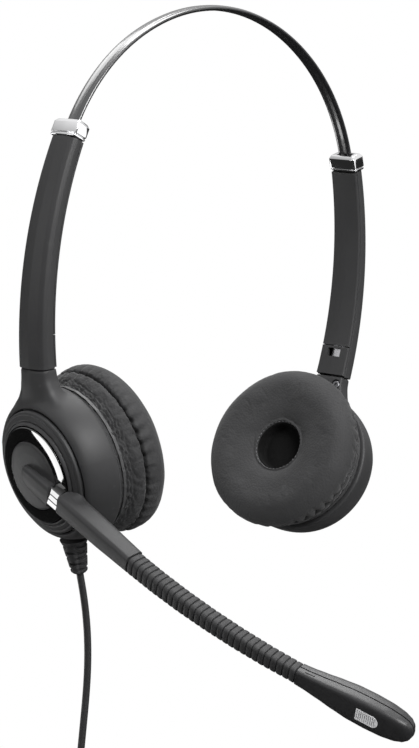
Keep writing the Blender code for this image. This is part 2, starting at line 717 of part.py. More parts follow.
def make_boot(capsule, mats):
    """Tapered ribbed boot with a blind seat for the cable."""
    length = BOOT_LENGTH / MM
    profile = [(1.5, 0.0), (4.6, 0.0)]
    for k in range(5):
        top = 1.3 + k * 2.0
        size = 4.6 - 0.34 * k
        profile += [(size - 0.1, top), (size - 0.9, top + 0.4), (size - 0.4, top + 1.2)]
    profile += [(2.5, length), (1.5, length)]
    profile.reverse()
    boot = turned("cable_strain_relief", profile, mats["rubber"], SMALL_SEGMENTS, closed=True)
    hold(boot, capsule, boot_matrix())


def cable_points():
    """Leaves the boot along its axis and turns to hang straight down."""
    seat = boot_matrix()
    start = seat @ Vector((0, 0, 0.3 * MM))
    heading = (seat.to_3x3() @ Vector((0, 0, 1.0))).normalized()
    leave = start + heading * (BOOT_LENGTH + 4 * MM)
    low = start.z - CABLE_DROP
    end = Vector((leave.x + 7.0 * MM, leave.y, low))
    turn_end = Vector((end.x, end.y, leave.z - 52 * MM))
    handles = (leave, leave + heading * (22 * MM), turn_end + Vector((0, 0, 18 * MM)), turn_end)
    points = [start]
    for k in range(13):
        s = k / 12
        weights = ((1 - s) ** 3, 3 * s * (1 - s) ** 2, 3 * s * s * (1 - s), s ** 3)
        points.append(sum((p * w for p, w in zip(handles, weights)), Vector()))
    for k in range(1, 5):
        points.append(turn_end.lerp(end, k / 4))
    return points


def make_cable(capsule, mats):
    curve = bpy.data.curves.new("headset_cable", "CURVE")
    curve.dimensions = "3D"
    curve.bevel_depth = CABLE_RADIUS
    curve.bevel_resolution = 2
    curve.use_fill_caps = True
    spline = curve.splines.new("POLY")
    points = cable_points()
    spline.points.add(len(points) - 1)
    for slot, point in zip(spline.points, points):
        slot.co = (*point, 1.0)
    curve.materials.append(mats["rubber"])
    cable = bpy.data.objects.new("headset_cable", curve)
    parts.objects.link(cable)
    hold_world(cable, capsule)
    weld = cable.modifiers.new("weld_caps", "WELD")
    weld.merge_threshold = MERGE


def make_plug(capsule, mats):
    top = cable_points()[-1]
    place = Matrix.Translation(top)
    outline = [(4.5, 2.9, 2.9), (2.0, 3.1, 3.1), (-7.0, 3.4, 3.3), (-9.0, 5.6, 3.8), (-12.0, 6.9, 4.3),
               (-30.0, 7.0, 4.4), (-33.0, 7.0, 4.4)]
    rings = []
    for z, half_x, half_y in outline:
        rings.append([Vector((a, b, z)) * MM for a, b in oval(half_x, half_y, 3.6, 20, 0.5)])
    shell = hold(loft("plug_shell", rings, mats["plastic"]), capsule, place)
    seat = cylinder("plug_cable_cutter", CABLE_RADIUS + GAP, -GAP, 8 * MM, None, SMALL_SEGMENTS)
    boolean(shell, hold(seat, capsule, place), "DIFFERENCE")
    low = -PLUG_LENGTH / MM
    rings = []
    for z, half_x, half_y in ((-33.3, 5.6, 3.1), (low + 0.6, 5.6, 3.1), (low, 5.1, 2.7)):
        rings.append([Vector((a, b, z)) * MM for a, b in oval(half_x, half_y, 5.0, 20, 0.5)])
    hold(loft("plug_contact_block", rings, mats["gloss"]), capsule, place)


def make_board(capsule, mats):
    """Terminal board in the dome, on the cable's side."""
    bm = bmesh.new()
    bmesh.ops.create_cube(bm, size=1.0)
    bmesh.ops.scale(bm, vec=(16 * MM, 7 * MM, 0.9 * MM), verts=bm.verts)
    board = new_object("terminal_board", bm, mats["board"])
    place = capsule_matrix(-1) @ Matrix.Translation((0, -14.5 * MM, -6.8 * MM))
    hold(board, capsule, place)


# ---------------------------------------------------------------- assembly

def make_side(side, label, mats):
    arm = frame_empty(label + "_arm_axis", arm_frame_matrix(side))
    make_band_clip(side, label, mats)
    make_collar(side, label, arm, mats)
    make_arm_shell(side, label, arm, mats)
    make_arm_cover(side, label, arm, mats)
    make_window_plate(side, label, arm, mats)
    capsule = frame_empty(label + "_capsule_frame", capsule_matrix(side), arm)
    make_housing(side, label, capsule, mats)
    make_baffle(label, capsule, mats)
    make_speaker(label, capsule, mats)
    make_cushion(label, capsule, mats)
    return capsule


def make_boom(capsule, mats):
    boom = frame_empty("boom_axis", boom_matrix(), capsule)
    make_boom_hub(boom, mats)
    make_boom_arm(boom, mats)
    parent = boom
    for index in range(LINKS):
        parent = frame_empty("gooseneck_axis_%d" % (index + 1), link_matrix(index), parent)
        make_link(index, parent, mats)
    mic = frame_empty("mic_axis", link_matrix(LINKS), parent)
    make_mic_shell("mic_outer_shell", 1, mic, mats)
    make_mic_shell("mic_inner_shell", -1, mic, mats)
    make_mic_parts(mic, mats)


def build():
    mats = make_materials()
    make_sheath(mats)
    make_spring(mats)
    right = make_side(-1, "right", mats)
    left = make_side(1, "left", mats)
    make_plain_hub(left, mats)
    make_pivot(right, mats)
    make_boot(right, mats)
    make_cable(right, mats)
    make_plug(right, mats)
    make_board(right, mats)
    make_boom(right, mats)


clear_scene()
frame_matrix = {}
parts = collection(PARTS)
cutters = collection(CUTTERS)
build()
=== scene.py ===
import json
from math import atan2, cos, exp, hypot, pi, radians, sin

import bmesh
import bpy
from mathutils import Matrix, Vector, noise


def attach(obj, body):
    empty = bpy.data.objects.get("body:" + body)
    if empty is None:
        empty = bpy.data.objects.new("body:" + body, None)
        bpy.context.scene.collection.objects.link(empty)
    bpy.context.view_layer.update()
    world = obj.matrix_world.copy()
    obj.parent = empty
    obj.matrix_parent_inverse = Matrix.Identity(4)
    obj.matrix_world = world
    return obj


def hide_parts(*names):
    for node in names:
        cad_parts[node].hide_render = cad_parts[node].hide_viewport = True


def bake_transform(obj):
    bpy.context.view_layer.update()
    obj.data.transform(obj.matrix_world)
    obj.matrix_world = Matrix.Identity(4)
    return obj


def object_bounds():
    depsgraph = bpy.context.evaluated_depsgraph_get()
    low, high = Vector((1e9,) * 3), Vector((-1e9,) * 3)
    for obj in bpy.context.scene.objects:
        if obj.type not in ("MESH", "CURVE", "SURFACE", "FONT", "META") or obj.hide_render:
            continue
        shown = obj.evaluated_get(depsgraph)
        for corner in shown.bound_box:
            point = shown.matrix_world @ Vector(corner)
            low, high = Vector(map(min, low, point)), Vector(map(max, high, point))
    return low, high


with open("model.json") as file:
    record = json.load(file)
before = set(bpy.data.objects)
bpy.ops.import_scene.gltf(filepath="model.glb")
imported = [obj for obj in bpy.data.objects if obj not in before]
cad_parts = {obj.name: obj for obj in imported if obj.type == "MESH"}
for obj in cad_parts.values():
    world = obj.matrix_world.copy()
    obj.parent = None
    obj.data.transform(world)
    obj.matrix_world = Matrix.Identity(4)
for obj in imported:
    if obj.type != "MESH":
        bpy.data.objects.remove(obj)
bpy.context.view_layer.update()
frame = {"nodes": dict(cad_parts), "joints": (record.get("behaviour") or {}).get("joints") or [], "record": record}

scene = bpy.context.scene

# Geometry is in millimetres here and is scaled to metres as each mesh is made.
MM = 0.001

# Arch of the headband and arms
HALF_SPAN = 62.5
EAR_LEAN = radians(26.0)
ARM_RADIUS = 141.0
ARM_ARC = 111.0
SIDE_RADIUS = 68.0
SIDE_TURN = radians(35.0)
CROWN_RADIUS = 76.0
NECK_TOP = 34.0
SHELL_SPAN = (34.3, 108.8)
COVER_SPAN = (45.3, 108.6)
PLATE_SPAN = (34.6, 45.0)
WINDOW_SPAN = (41.2, 44.2)
WINDOW_HALF = 2.9
SHEATH_END = 46.8
COLLAR_SPAN = (109.1, 114.8)
ARM_TOP_HALF = (2.7, 5.7)
ARM_END_HALF = (3.2, 6.4)
ARM_WALL = 1.1

# Ear capsules
DOME_RADIUS = 25.6
RECESS_RADIUS = 21.3
HUB_FLOOR = -3.2
CAP_RADIUS = 11.6
TURNED_STEPS = 160

# Boom
BOOM_DROP = radians(23.0)
BOOM_AXIS_Z = 2.85
BOOM_END = 51.0
LINKS = 6
LINK_LENGTH = 11.3
LINK_GAP = 0.9
LINK_BEND = radians(16.5) / (LINKS + 1)
RIBS_PER_LINK = 5
PORT_AT = 26.2

joint = {j["name"]: j for j in frame["joints"]}
record_mounts = {m["name"]: m for m in frame["record"]["mounts"]}


def millimetres(point):
    return Vector(point) / MM


hub_centre = millimetres(joint["boom_rotate"]["pos_m"])
hub_outward = Vector(joint["boom_rotate"]["axis"]).normalized()
CROWN_HEIGHT = -1.8 - hub_centre.z


# ---- meshes

def mesh_of(bm, name):
    mesh = bpy.data.meshes.new(name)
    bm.to_mesh(mesh)
    bm.free()
    return mesh


def new_object(name, data):
    obj = bpy.data.objects.new(name, data)
    scene.collection.objects.link(obj)
    return obj


def add_object(name, bm, mat, place=None, sharp=32):
    bmesh.ops.recalc_face_normals(bm, faces=bm.faces)
    return add_mesh(name, mesh_of(bm, name), mat, place, sharp)


def add_mesh(name, mesh, mat, place=None, sharp=32):
    """Object in metres from a mesh in millimetres."""
    mesh.transform(Matrix.Scale(MM, 4) @ (place or Matrix.Identity(4)))
    mesh.materials.clear()
    mesh.materials.append(mat)
    mesh.shade_smooth()
    mesh.set_sharp_from_angle(angle=radians(sharp))
    return new_object(name, mesh)


def stand_in(piece, body, slot, *nodes):
    """The piece rides on a body and stands for the CAD nodes, which it hides; slot is not used."""
    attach(piece, body)
    if nodes:
        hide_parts(*nodes)


def around(count, shift=0.0):
    """Evenly spaced angles round a full turn."""
    return [2 * pi * (k + shift) / count for k in range(count)]


def stitch(bm, rings, loop=False):
    """Faces between each ring of vertices and the next."""
    pairs = list(zip(rings, rings[1:]))
    if loop:
        pairs.append((rings[-1], rings[0]))
    for lower, upper in pairs:
        count = len(lower)
        for i in range(count):
            j = (i + 1) % count
            bm.faces.new((lower[i], lower[j], upper[j], upper[i]))


def skin_bm(rings):
    bm = bmesh.new()
    loops = [[bm.verts.new(p) for p in ring] for ring in rings]
    stitch(bm, loops)
    bm.faces.new(loops[0])
    bm.faces.new(loops[-1])
    bmesh.ops.recalc_face_normals(bm, faces=bm.faces)
    return bm


def skin(name, rings, mat, place=None, sharp=32):
    """Closed solid through rings of points."""
    return add_object(name, skin_bm(rings), mat, place, sharp)


def tube_skin(name, outer, inner, mat, place=None, sharp=32):
    """Closed solid between an outer and an inner row of rings."""
    bm = bmesh.new()
    outside = [[bm.verts.new(p) for p in ring] for ring in outer]
    inside = [[bm.verts.new(p) for p in ring] for ring in inner]
    stitch(bm, outside)
    stitch(bm, inside)
    stitch(bm, [outside[0], inside[0]])
    stitch(bm, [outside[-1], inside[-1]])
    return add_object(name, bm, mat, place, sharp)


def lathe_bm(profile, steps=128, closed=False):
    """Turned solid about z from (radius, z) pairs. An open profile starts and ends on the axis."""
    bm = bmesh.new()
    rings = []
    for r, z in profile:
        rings.append([bm.verts.new((r * cos(turn), r * sin(turn), z)) for turn in around(steps)])
    stitch(bm, rings, closed)
    bmesh.ops.remove_doubles(bm, verts=bm.verts, dist=1e-5)
    bmesh.ops.recalc_face_normals(bm, faces=bm.faces)
    return bm


def lathe(name, profile, mat, place=None, steps=128, closed=False, sharp=32):
    return add_object(name, lathe_bm(profile, steps, closed), mat, place, sharp)


def fillet(points, radius, closed=True, steps=4):
    """Round the corners of a flat outline."""
    points = [Vector(p) for p in points]
    out = []
    for i, p in enumerate(points):
        if not closed and i in (0, len(points) - 1):
            out.append(p)
            continue
        a = points[i - 1] - p
        b = points[(i + 1) % len(points)] - p
        d = min(radius, a.length * 0.45, b.length * 0.45)
        start = p + a.normalized() * d
        end = p + b.normalized() * d
        for k in range(steps + 1):
            s = k / steps
            out.append(start * (1 - s) ** 2 + p * (2 * s * (1 - s)) + end * s * s)
    return out


def spline(points, count):
    """Smooth curve through points, evenly many samples on each span."""
    points = [Vector(p) for p in points]
    out = []
    last = len(points) - 1
    for i in range(last):
        p0, p1, p2, p3 = points[max(i - 1, 0)], points[i], points[i + 1], points[min(i + 2, last)]
        for k in range(count):
            s = k / count
            out.append(0.5 * (2 * p1 + (p2 - p0) * s + (2 * p0 - 5 * p1 + 4 * p2 - p3) * s * s
                              + (3 * p1 - p0 - 3 * p2 + p3) * s ** 3))
    out.append(points[-1])
    return out


def table(rows, x):
    """Linear lookup of the other columns at x in rows sorted by their first column."""
    if x <= rows[0][0]:
        return list(rows[0][1:])
    for a, b in zip(rows, rows[1:]):
        if x <= b[0]:
            share = (x - a[0]) / (b[0] - a[0])
            share = share * share * (3 - 2 * share) * 0.35 + share * 0.65
            return [p + (q - p) * share for p, q in zip(a[1:], b[1:])]
    return list(rows[-1][1:])


def spread(low, high, count):
    return [low + (high - low) * k / (count - 1) for k in range(count)]


def squared(value, power):
    """A sine or cosine pushed outward, so that a circle turns into a rounded square."""
    return abs(value) ** (2 / power) * (1 if value >= 0 else -1)


def oval(half_a, half_b, power, count=48):
    """Rounded rectangle as a superellipse."""
    return [(half_a * squared(cos(turn), power), half_b * squared(sin(turn), power))
            for turn in around(count, 0.5)]


def box_bm(size, centre):
    bm = bmesh.new()
    bmesh.ops.create_cube(bm, size=1.0)
    bmesh.ops.scale(bm, vec=size, verts=bm.verts)
    bmesh.ops.translate(bm, vec=centre, verts=bm.verts)
    return bm


def temp_object(bm):
    return new_object("work", mesh_of(bm, "work"))


def baked(obj):
    """Mesh of obj with its modifiers applied; obj is removed."""
    bpy.context.view_layer.update()
    graph = bpy.context.evaluated_depsgraph_get()
    mesh = bpy.data.meshes.new_from_object(obj.evaluated_get(graph))
    bpy.data.objects.remove(obj)
    return mesh


def combine(obj, bm, operation):
    """Boolean of a work object and a bmesh, as a new work object."""
    tool = temp_object(bm)
    mod = obj.modifiers.new("cut", "BOOLEAN")
    mod.operation = operation
    mod.object = tool
    mod.solver = "EXACT"
    mesh = baked(obj)
    bpy.data.objects.remove(tool)
    return new_object("work", mesh)


def cut(obj, *tools):
    for bm in tools:
        obj = combine(obj, bm, "DIFFERENCE")
    return obj


def finished(obj, name, mat, place=None, sharp=32):
    """Turn a work object into a piece."""
    mesh = obj.data
    bpy.data.objects.remove(obj)
    mesh.name = name
    return add_mesh(name, mesh, mat, place, sharp)


def joined(*parts):
    """One bmesh that holds several."""
    bm = bmesh.new()
    for part in parts:
        mesh = mesh_of(part, "part")
        bm.from_mesh(mesh)
        bpy.data.meshes.remove(mesh)
    return bm


# ---- materials

def node(tree, kind, **values):
    """New shader node with its inputs or settings by name."""
    made = tree.nodes.new(kind)
    for key, value in values.items():
        if key in made.inputs:
            made.inputs[key].default_value = value
        else:
            setattr(made, key, value)
    return made


def map_range(tree, from_min, from_max, to_min, to_max):
    limits = {"From Min": from_min, "From Max": from_max, "To Min": to_min, "To Max": to_max}
    return node(tree, "ShaderNodeMapRange", **limits)


def principled(mat):
    return mat.node_tree.nodes["Principled BSDF"]


def surface(name, colour, rough, metal=0.0, grain=900.0, bump=0.12, depth=0.00004, vary=0.18,
            coat=0.0, sheen=0.0, edge_highlight=0.0, spec=0.5, rough_vary=0.12, aniso=0.0):
    """Moulded or plated finish: fine grain, uneven tone and sheen, and convex edges painted lighter as a
    highlight.
    """
    mat = bpy.data.materials.new(name)
    mat.use_nodes = True
    tree = mat.node_tree
    link = tree.links.new
    shader = principled(mat)
    finish = {"Metallic": metal, "Coat Weight": coat, "Coat Roughness": 0.04, "Sheen Weight": sheen,
              "Sheen Roughness": 0.45, "Specular IOR Level": spec, "Anisotropic": aniso}
    for key, value in finish.items():
        shader.inputs[key].default_value = value
    coords = node(tree, "ShaderNodeTexCoord")
    broad = node(tree, "ShaderNodeTexNoise", Scale=70.0, Detail=3.0)
    fine = node(tree, "ShaderNodeTexNoise", Scale=grain, Detail=4.0, Roughness=0.6)
    link(coords.outputs["Object"], broad.inputs["Vector"])
    link(coords.outputs["Object"], fine.inputs["Vector"])
    dark = tuple(c * (1 - vary) for c in colour) + (1.0,)
    light = tuple(min(1.0, c * (1 + vary)) for c in colour) + (1.0,)
    tone = node(tree, "ShaderNodeMix", data_type="RGBA")
    tone.inputs[6].default_value = dark
    tone.inputs[7].default_value = light
    link(broad.outputs["Fac"], tone.inputs[0])
    colour_out = tone.outputs[2]
    # Painted highlight: where pointiness marks a convex edge, the colour is mixed towards a lighter one, as if the
    # edge caught the light.
    if edge_highlight:
        shape = node(tree, "ShaderNodeNewGeometry")
        edge = map_range(tree, 0.52, 0.62, 0.0, edge_highlight)
        highlight_mix = node(tree, "ShaderNodeMix", data_type="RGBA")
        highlight_mix.inputs[7].default_value = tuple(min(1.0, c * 3.0 + 0.03) for c in colour) + (1.0,)
        link(shape.outputs["Pointiness"], edge.inputs["Value"])
        link(edge.outputs["Result"], highlight_mix.inputs[0])
        link(colour_out, highlight_mix.inputs[6])
        colour_out = highlight_mix.outputs[2]
    link(colour_out, shader.inputs["Base Color"])
    polish = map_range(tree, 0.0, 1.0, rough * (1 - rough_vary), min(1.0, rough * (1 + rough_vary)))
    link(fine.outputs["Fac"], polish.inputs["Value"])
    link(polish.outputs["Result"], shader.inputs["Roughness"])
    relief = node(tree, "ShaderNodeBump", Strength=bump, Distance=depth)
    link(fine.outputs["Fac"], relief.inputs["Height"])
    link(relief.outputs["Normal"], shader.inputs["Normal"])
    return mat


def pattern(mat, kind, **values):
    """Texture node on the coordinates that the material already uses."""
    tree = mat.node_tree
    coords = next(n for n in tree.nodes if n.bl_idname == "ShaderNodeTexCoord")
    made = node(tree, kind, **values)
    tree.links.new(coords.outputs["Object"], made.inputs["Vector"])
    return made


def add_relief(mat, height, distance, invert=False):
    """Second bump over the one that the material already has."""
    link = mat.node_tree.links.new
    normal = principled(mat).inputs["Normal"]
    relief = node(mat.node_tree, "ShaderNodeBump", Strength=0.6, Distance=distance, invert=invert)
    link(height, relief.inputs["Height"])
    link(normal.links[0].from_socket, relief.inputs["Normal"])
    link(relief.outputs["Normal"], normal)


def leather(name, colour, rough):
    """Leatherette: fine pebbled grain over shallow creases."""
    # Convex edges of the leatherette get a painted highlight through edge_highlight.
    mat = surface(name, colour, rough, grain=420.0, bump=0.25, depth=0.0002, vary=0.25, sheen=0.12,
                  edge_highlight=0.1, rough_vary=0.1, spec=0.25)
    cells = pattern(mat, "ShaderNodeTexVoronoi", Scale=1300.0)
    add_relief(mat, cells.outputs["Distance"], 0.00016, invert=True)
    return mat


def woven(name, colour, thread=0.00045):
    """Plain weave from two crossing sets of threads."""
    mat = surface(name, colour, 0.95, grain=3000.0, bump=0.3, sheen=0.02, vary=0.3, spec=0.15)
    cross = node(mat.node_tree, "ShaderNodeMath", operation="MAXIMUM")
    for index, direction in enumerate(("Y", "Z")):
        wave = pattern(mat, "ShaderNodeTexWave", Scale=1 / (thread * 20), Distortion=0.4,
                       bands_direction=direction)
        mat.node_tree.links.new(wave.outputs["Fac"], cross.inputs[index])
    add_relief(mat, cross.outputs["Value"], 0.00015)
    return mat


# edge_highlight sets how strongly a finish paints a lighter highlight onto its convex edges.
MATS = {
    "soft_touch": surface("soft_touch_black", (0.03, 0.03, 0.031), 0.52, edge_highlight=0.1, sheen=0.05, spec=0.35),
    "mic_touch": surface("microphone_black", (0.024, 0.024, 0.025), 0.42, edge_highlight=0.15, spec=0.4, bump=0.04),
    "satin_band": surface("satin_black_band", (0.012, 0.012, 0.013), 0.3, coat=0.5, spec=1.0, bump=0.0),
    "gloss_black": surface("gloss_black", (0.002, 0.002, 0.002), 0.04, coat=1.0, bump=0.0, spec=1.0,
                           vary=0.05),
    "chrome": surface("chrome", (0.9, 0.9, 0.91), 0.07, metal=1.0, bump=0.01, vary=0.03),
    "spring_steel": surface("spring_steel", (0.6, 0.6, 0.62), 0.3, metal=1.0, bump=0.1, vary=0.08),
    "leatherette": leather("leatherette", (0.036, 0.036, 0.037), 0.72),
    "speaker_cloth": woven("speaker_cloth", (0.005, 0.005, 0.005)),
    "inner_plastic": surface("inner_plastic", (0.04, 0.04, 0.041), 0.5, edge_highlight=0.15),
    "rubber": surface("black_rubber", (0.028, 0.028, 0.029), 0.6, grain=700.0, bump=0.18, edge_highlight=0.3,
                      spec=0.35),
    "cable": surface("cable_jacket", (0.024, 0.024, 0.025), 0.5, grain=1500.0, bump=0.1),
    "speaker_film": surface("speaker_film", (0.5, 0.48, 0.42), 0.4, grain=1800.0),
    "magnet_steel": surface("magnet_steel", (0.42, 0.43, 0.45), 0.4, metal=1.0, aniso=0.4),
    "dark_screw": surface("dark_screw_steel", (0.2, 0.2, 0.21), 0.35, metal=0.9, bump=0.08, vary=0.1),
    "terminal_board": surface("terminal_board", (0.02, 0.13, 0.06), 0.45, coat=0.4, vary=0.35),
    "thread": surface("stitch_thread", (0.16, 0.16, 0.165), 0.8, grain=4000.0, bump=0.4),
    "contacts": surface("gold_contacts", (0.8, 0.6, 0.25), 0.25, metal=1.0),
    "grille": surface("silver_grille", (0.86, 0.86, 0.87), 0.4, metal=0.1, bump=0.03, vary=0.05),
}


# ---- frames of the object

ARCS = [
    (ARM_RADIUS, ARM_ARC),
    (SIDE_RADIUS, SIDE_RADIUS * SIDE_TURN),
    (CROWN_RADIUS, CROWN_RADIUS * (pi / 2 - (ARM_ARC / ARM_RADIUS - EAR_LEAN) - SIDE_TURN)),
]
HALF_ARCH = sum(length for _, length in ARCS)


def arch(side, t):
    """Centreline point and outward normal at arc length t above the ear."""
    out, up, lean = HALF_SPAN, -CROWN_HEIGHT, -EAR_LEAN
    for radius, length in ARCS:
        step = min(t, length)
        turned = lean + step / radius
        out += radius * (cos(turned) - cos(lean))
        up += radius * (sin(turned) - sin(lean))
        lean = turned
        t -= step
        if t <= 0:
            break
    return Vector((side * out, 0.0, up)), Vector((side * cos(lean), 0.0, sin(lean)))


def arch_ring(side, t, section):
    point, normal = arch(side, t)
    return [point + normal * u + Vector((0.0, v, 0.0)) for u, v in section]


def arm_half(t):
    share = (t - NECK_TOP) / (SHELL_SPAN[1] - NECK_TOP)
    return [a + (b - a) * share for a, b in zip(ARM_END_HALF, ARM_TOP_HALF)]


def capsule_frame(side):
    outward = Vector((-side * hub_outward.x, hub_outward.y, hub_outward.z))
    up = Vector((-outward.z, 0.0, outward.x)) * side
    up.normalize()
    turn = Matrix((up.cross(outward), up, outward)).transposed().to_4x4()
    centre = Vector((-side * hub_centre.x, hub_centre.y, hub_centre.z))
    return Matrix.Translation(centre) @ turn


RIGHT = capsule_frame(-1)
LEFT = capsule_frame(1)
BOOM = RIGHT @ Matrix.Rotation(-BOOM_DROP, 4, "Z")


def link_frame(index):
    """Gooseneck hinge number index, in the boom's frame: x along the link that it starts."""
    at = Matrix.Translation((BOOM_END + LINK_GAP / 2, 0.0, BOOM_AXIS_Z))
    bend = Matrix.Rotation(LINK_BEND, 4, "Y")
    for _ in range(index):
        at = at @ bend @ Matrix.Translation((LINK_LENGTH, 0.0, 0.0))
    return at @ bend


MIC = BOOM @ link_frame(LINKS)


# ---- headband

def make_band():
    """Hollow strip over the crown, from arm to arm."""
    half = [(-0.95, -1.6), (-0.8, -2.35), (-0.2, -2.78), (0.2, -2.72), (0.52, -2.3), (0.66, -1.75),
            (0.72, -1.55), (0.88, -1.2)]
    outer = fillet(half + [(0.97, 0.0)] + [(u, -v) for u, v in reversed(half)] + [(-0.82, 0.0)], 0.3)
    inner = [(u * 0.42, v * 0.8) for u, v in outer]
    ts = spread(SHEATH_END, HALF_ARCH, 90)
    places = [(-1, t) for t in ts] + [(1, t) for t in ts[-2::-1]]
    outside, inside = [[arch_ring(side, t, section) for side, t in places] for section in (outer, inner)]
    band = tube_skin("headband_strip", outside, inside, MATS["satin_band"], sharp=80)
    stand_in(band, "headband", "satin_band", "headband_sheath")


# ---- arms

def arm_outline(half_u, half_v):
    """Outer outline of the arm from the inner left edge round the crowned face to the inner right."""
    left = [(-half_u, -half_v + 0.35), (-half_u + 0.35, -half_v), (half_u - 2.3, -half_v),
            (half_u - 0.9, -half_v + 0.7), (half_u, -half_v + 2.2)]
    return left + [(half_u + 0.42, 0.0)] + [(u, -v) for u, v in reversed(left)]


def arm_section(half_u, half_v):
    """Channel that is open towards the head, where the cover closes it."""
    wall_u = half_u - ARM_WALL
    wall_v = half_v - ARM_WALL
    outline = arm_outline(half_u, half_v)
    lip = -half_u + 1.16
    outline = [(lip, -wall_v), (lip, -half_v)] + outline[2:-2] + [(lip, half_v), (lip, wall_v)]
    return fillet(outline + [(wall_u, wall_v), (wall_u, -wall_v)], 0.35, steps=3)


def make_arm(side, label):
    body = label + "_arm"
    mat = MATS["soft_touch"]
    ts = spread(*SHELL_SPAN, 70)
    rings = [arch_ring(side, t, arm_section(*arm_half(t))) for t in ts]
    shell = skin(label + "_arm_shell_moulding", rings, mat, sharp=40)
    stand_in(shell, body, "soft_touch", label + "_arm_shell")
    rings = [cover_ring(side, t) for t in spread(*COVER_SPAN, 60)]
    cover = skin(label + "_arm_cover_moulding", rings, mat, sharp=40)
    stand_in(cover, body, "soft_touch", label + "_arm_inner_cover")
    plate = temp_object(skin_bm([cover_ring(side, t) for t in spread(*PLATE_SPAN, 14)]))
    hole = fillet([(u, v * WINDOW_HALF) for u, v in ((-7.0, -1), (-0.5, -1), (-0.5, 1), (-7.0, 1))], 0.2)
    plate = cut(plate, skin_bm([arch_ring(side, t, hole) for t in WINDOW_SPAN]))
    plate = finished(plate, label + "_window_cover", mat)
    stand_in(plate, body, "soft_touch", label + "_window_plate")
    make_collar(side, label, body)


def cover_ring(side, t):
    half_u, half_v = arm_half(t)
    reach = half_v - 0.04
    section = fillet([(-half_u, -reach + 0.5), (-half_u + 0.5, -reach), (-half_u + ARM_WALL, -reach),
                      (-half_u + ARM_WALL, reach), (-half_u + 0.5, reach), (-half_u, reach - 0.5),
                      (-half_u - 0.12, 0.0)], 0.3, steps=3)
    return arch_ring(side, t, section)


def make_collar(side, label, body):
    """Chrome sleeve with a groove near its lower end and a tapered top."""
    low, high = COLLAR_SPAN
    half_u, half_v = ARM_TOP_HALF
    profile = [(low, -0.3), (low + 0.2, 0.02), (low + 0.75, 0.02), (low + 0.85, -0.16), (low + 1.1, -0.16),
               (low + 1.2, 0.14), (high - 1.1, 0.14), (high - 0.1, -0.5), (high, -0.8)]

    def section(u, v, crown, radius):
        return fillet([(-u, -v), (u, -v), (u + crown, 0), (u, v), (-u, v)], radius, steps=5)

    outer, inner = [], []
    for t, grow in fillet(profile, 0.1, closed=False, steps=3):
        outer.append(arch_ring(side, t, section(half_u + grow, half_v + grow, 0.2, 0.9)))
        inner.append(arch_ring(side, t, section(1.35, 3.25, 0.01, 0.4)))
    collar = tube_skin(label + "_collar_sleeve", outer, inner, MATS["chrome"], sharp=50)
    stand_in(collar, body, "chrome", label + "_collar")


# ---- ear housing

NECK = [
    # t, half width, depth outward, depth inward
    (34.0, 6.15, 3.0, 3.1), (32.0, 6.2, 3.0, 3.2), (30.5, 6.35, 3.1, 3.3), (27.0, 7.4, 3.2, 3.7),
    (23.5, 9.8, 3.3, 4.4), (20.0, 13.6, 3.4, 5.2), (16.5, 17.4, 3.4, 5.8), (13.0, 20.4, 3.3, 6.2),
    (9.0, 22.4, 3.2, 6.4),
]


def neck_rings(side, place):
    """Rings from the arm's end to the dome, in the capsule's frame."""
    turn = place.to_3x3()
    lateral = turn @ Vector((side, 0.0, 0.0))
    outward = turn @ Vector((0.0, 0.0, 1.0))
    back = place.inverted()
    outline = fillet(arm_outline(*ARM_END_HALF), 0.6, closed=False, steps=3)
    rings = []
    for t in spread(NECK_TOP, NECK[-1][0], 34):
        half_v, out, inward = table(NECK[::-1], t)
        share = (NECK_TOP - t) / (NECK_TOP - NECK[-1][0])
        share = share * share * (3 - 2 * share)
        point, normal = arch(side, t)
        centre = point.lerp(place @ Vector((0.0, t + 1.0, -6.2)), share)
        across = Vector((0.0, 1.0, 0.0)).lerp(lateral, share).normalized()
        away = normal.lerp(outward, share).normalized()
        ring = []
        for u, v in outline:
            depth = out if u > 0 else inward
            ring.append(back @ (centre + across * (v / ARM_END_HALF[1] * half_v)
                                + away * (u / ARM_END_HALF[0] * depth)))
        rings.append(ring)
    return rings


def smooth_where(obj, weight, factor, repeats):
    group = obj.vertex_groups.new(name="smooth")
    for v in obj.data.vertices:
        w = weight(v.co)
        if w > 0:
            group.add([v.index], w, "REPLACE")
    mod = obj.modifiers.new("smooth", "SMOOTH")
    mod.factor = factor
    mod.iterations = repeats
    mod.vertex_group = "smooth"
    return new_object("work", baked(obj))


def screw_seat(side, sign):
    """Frame of a neck screw, with z out of the inner face."""
    point, normal = arch(side, 30.9)
    away = -normal
    across = Vector((0.0, 1.0, 0.0))
    turn = Matrix((across.cross(away), across, away)).transposed().to_4x4()
    return Matrix.Translation(point + away * 2.3 + across * (sign * 4.0)) @ turn


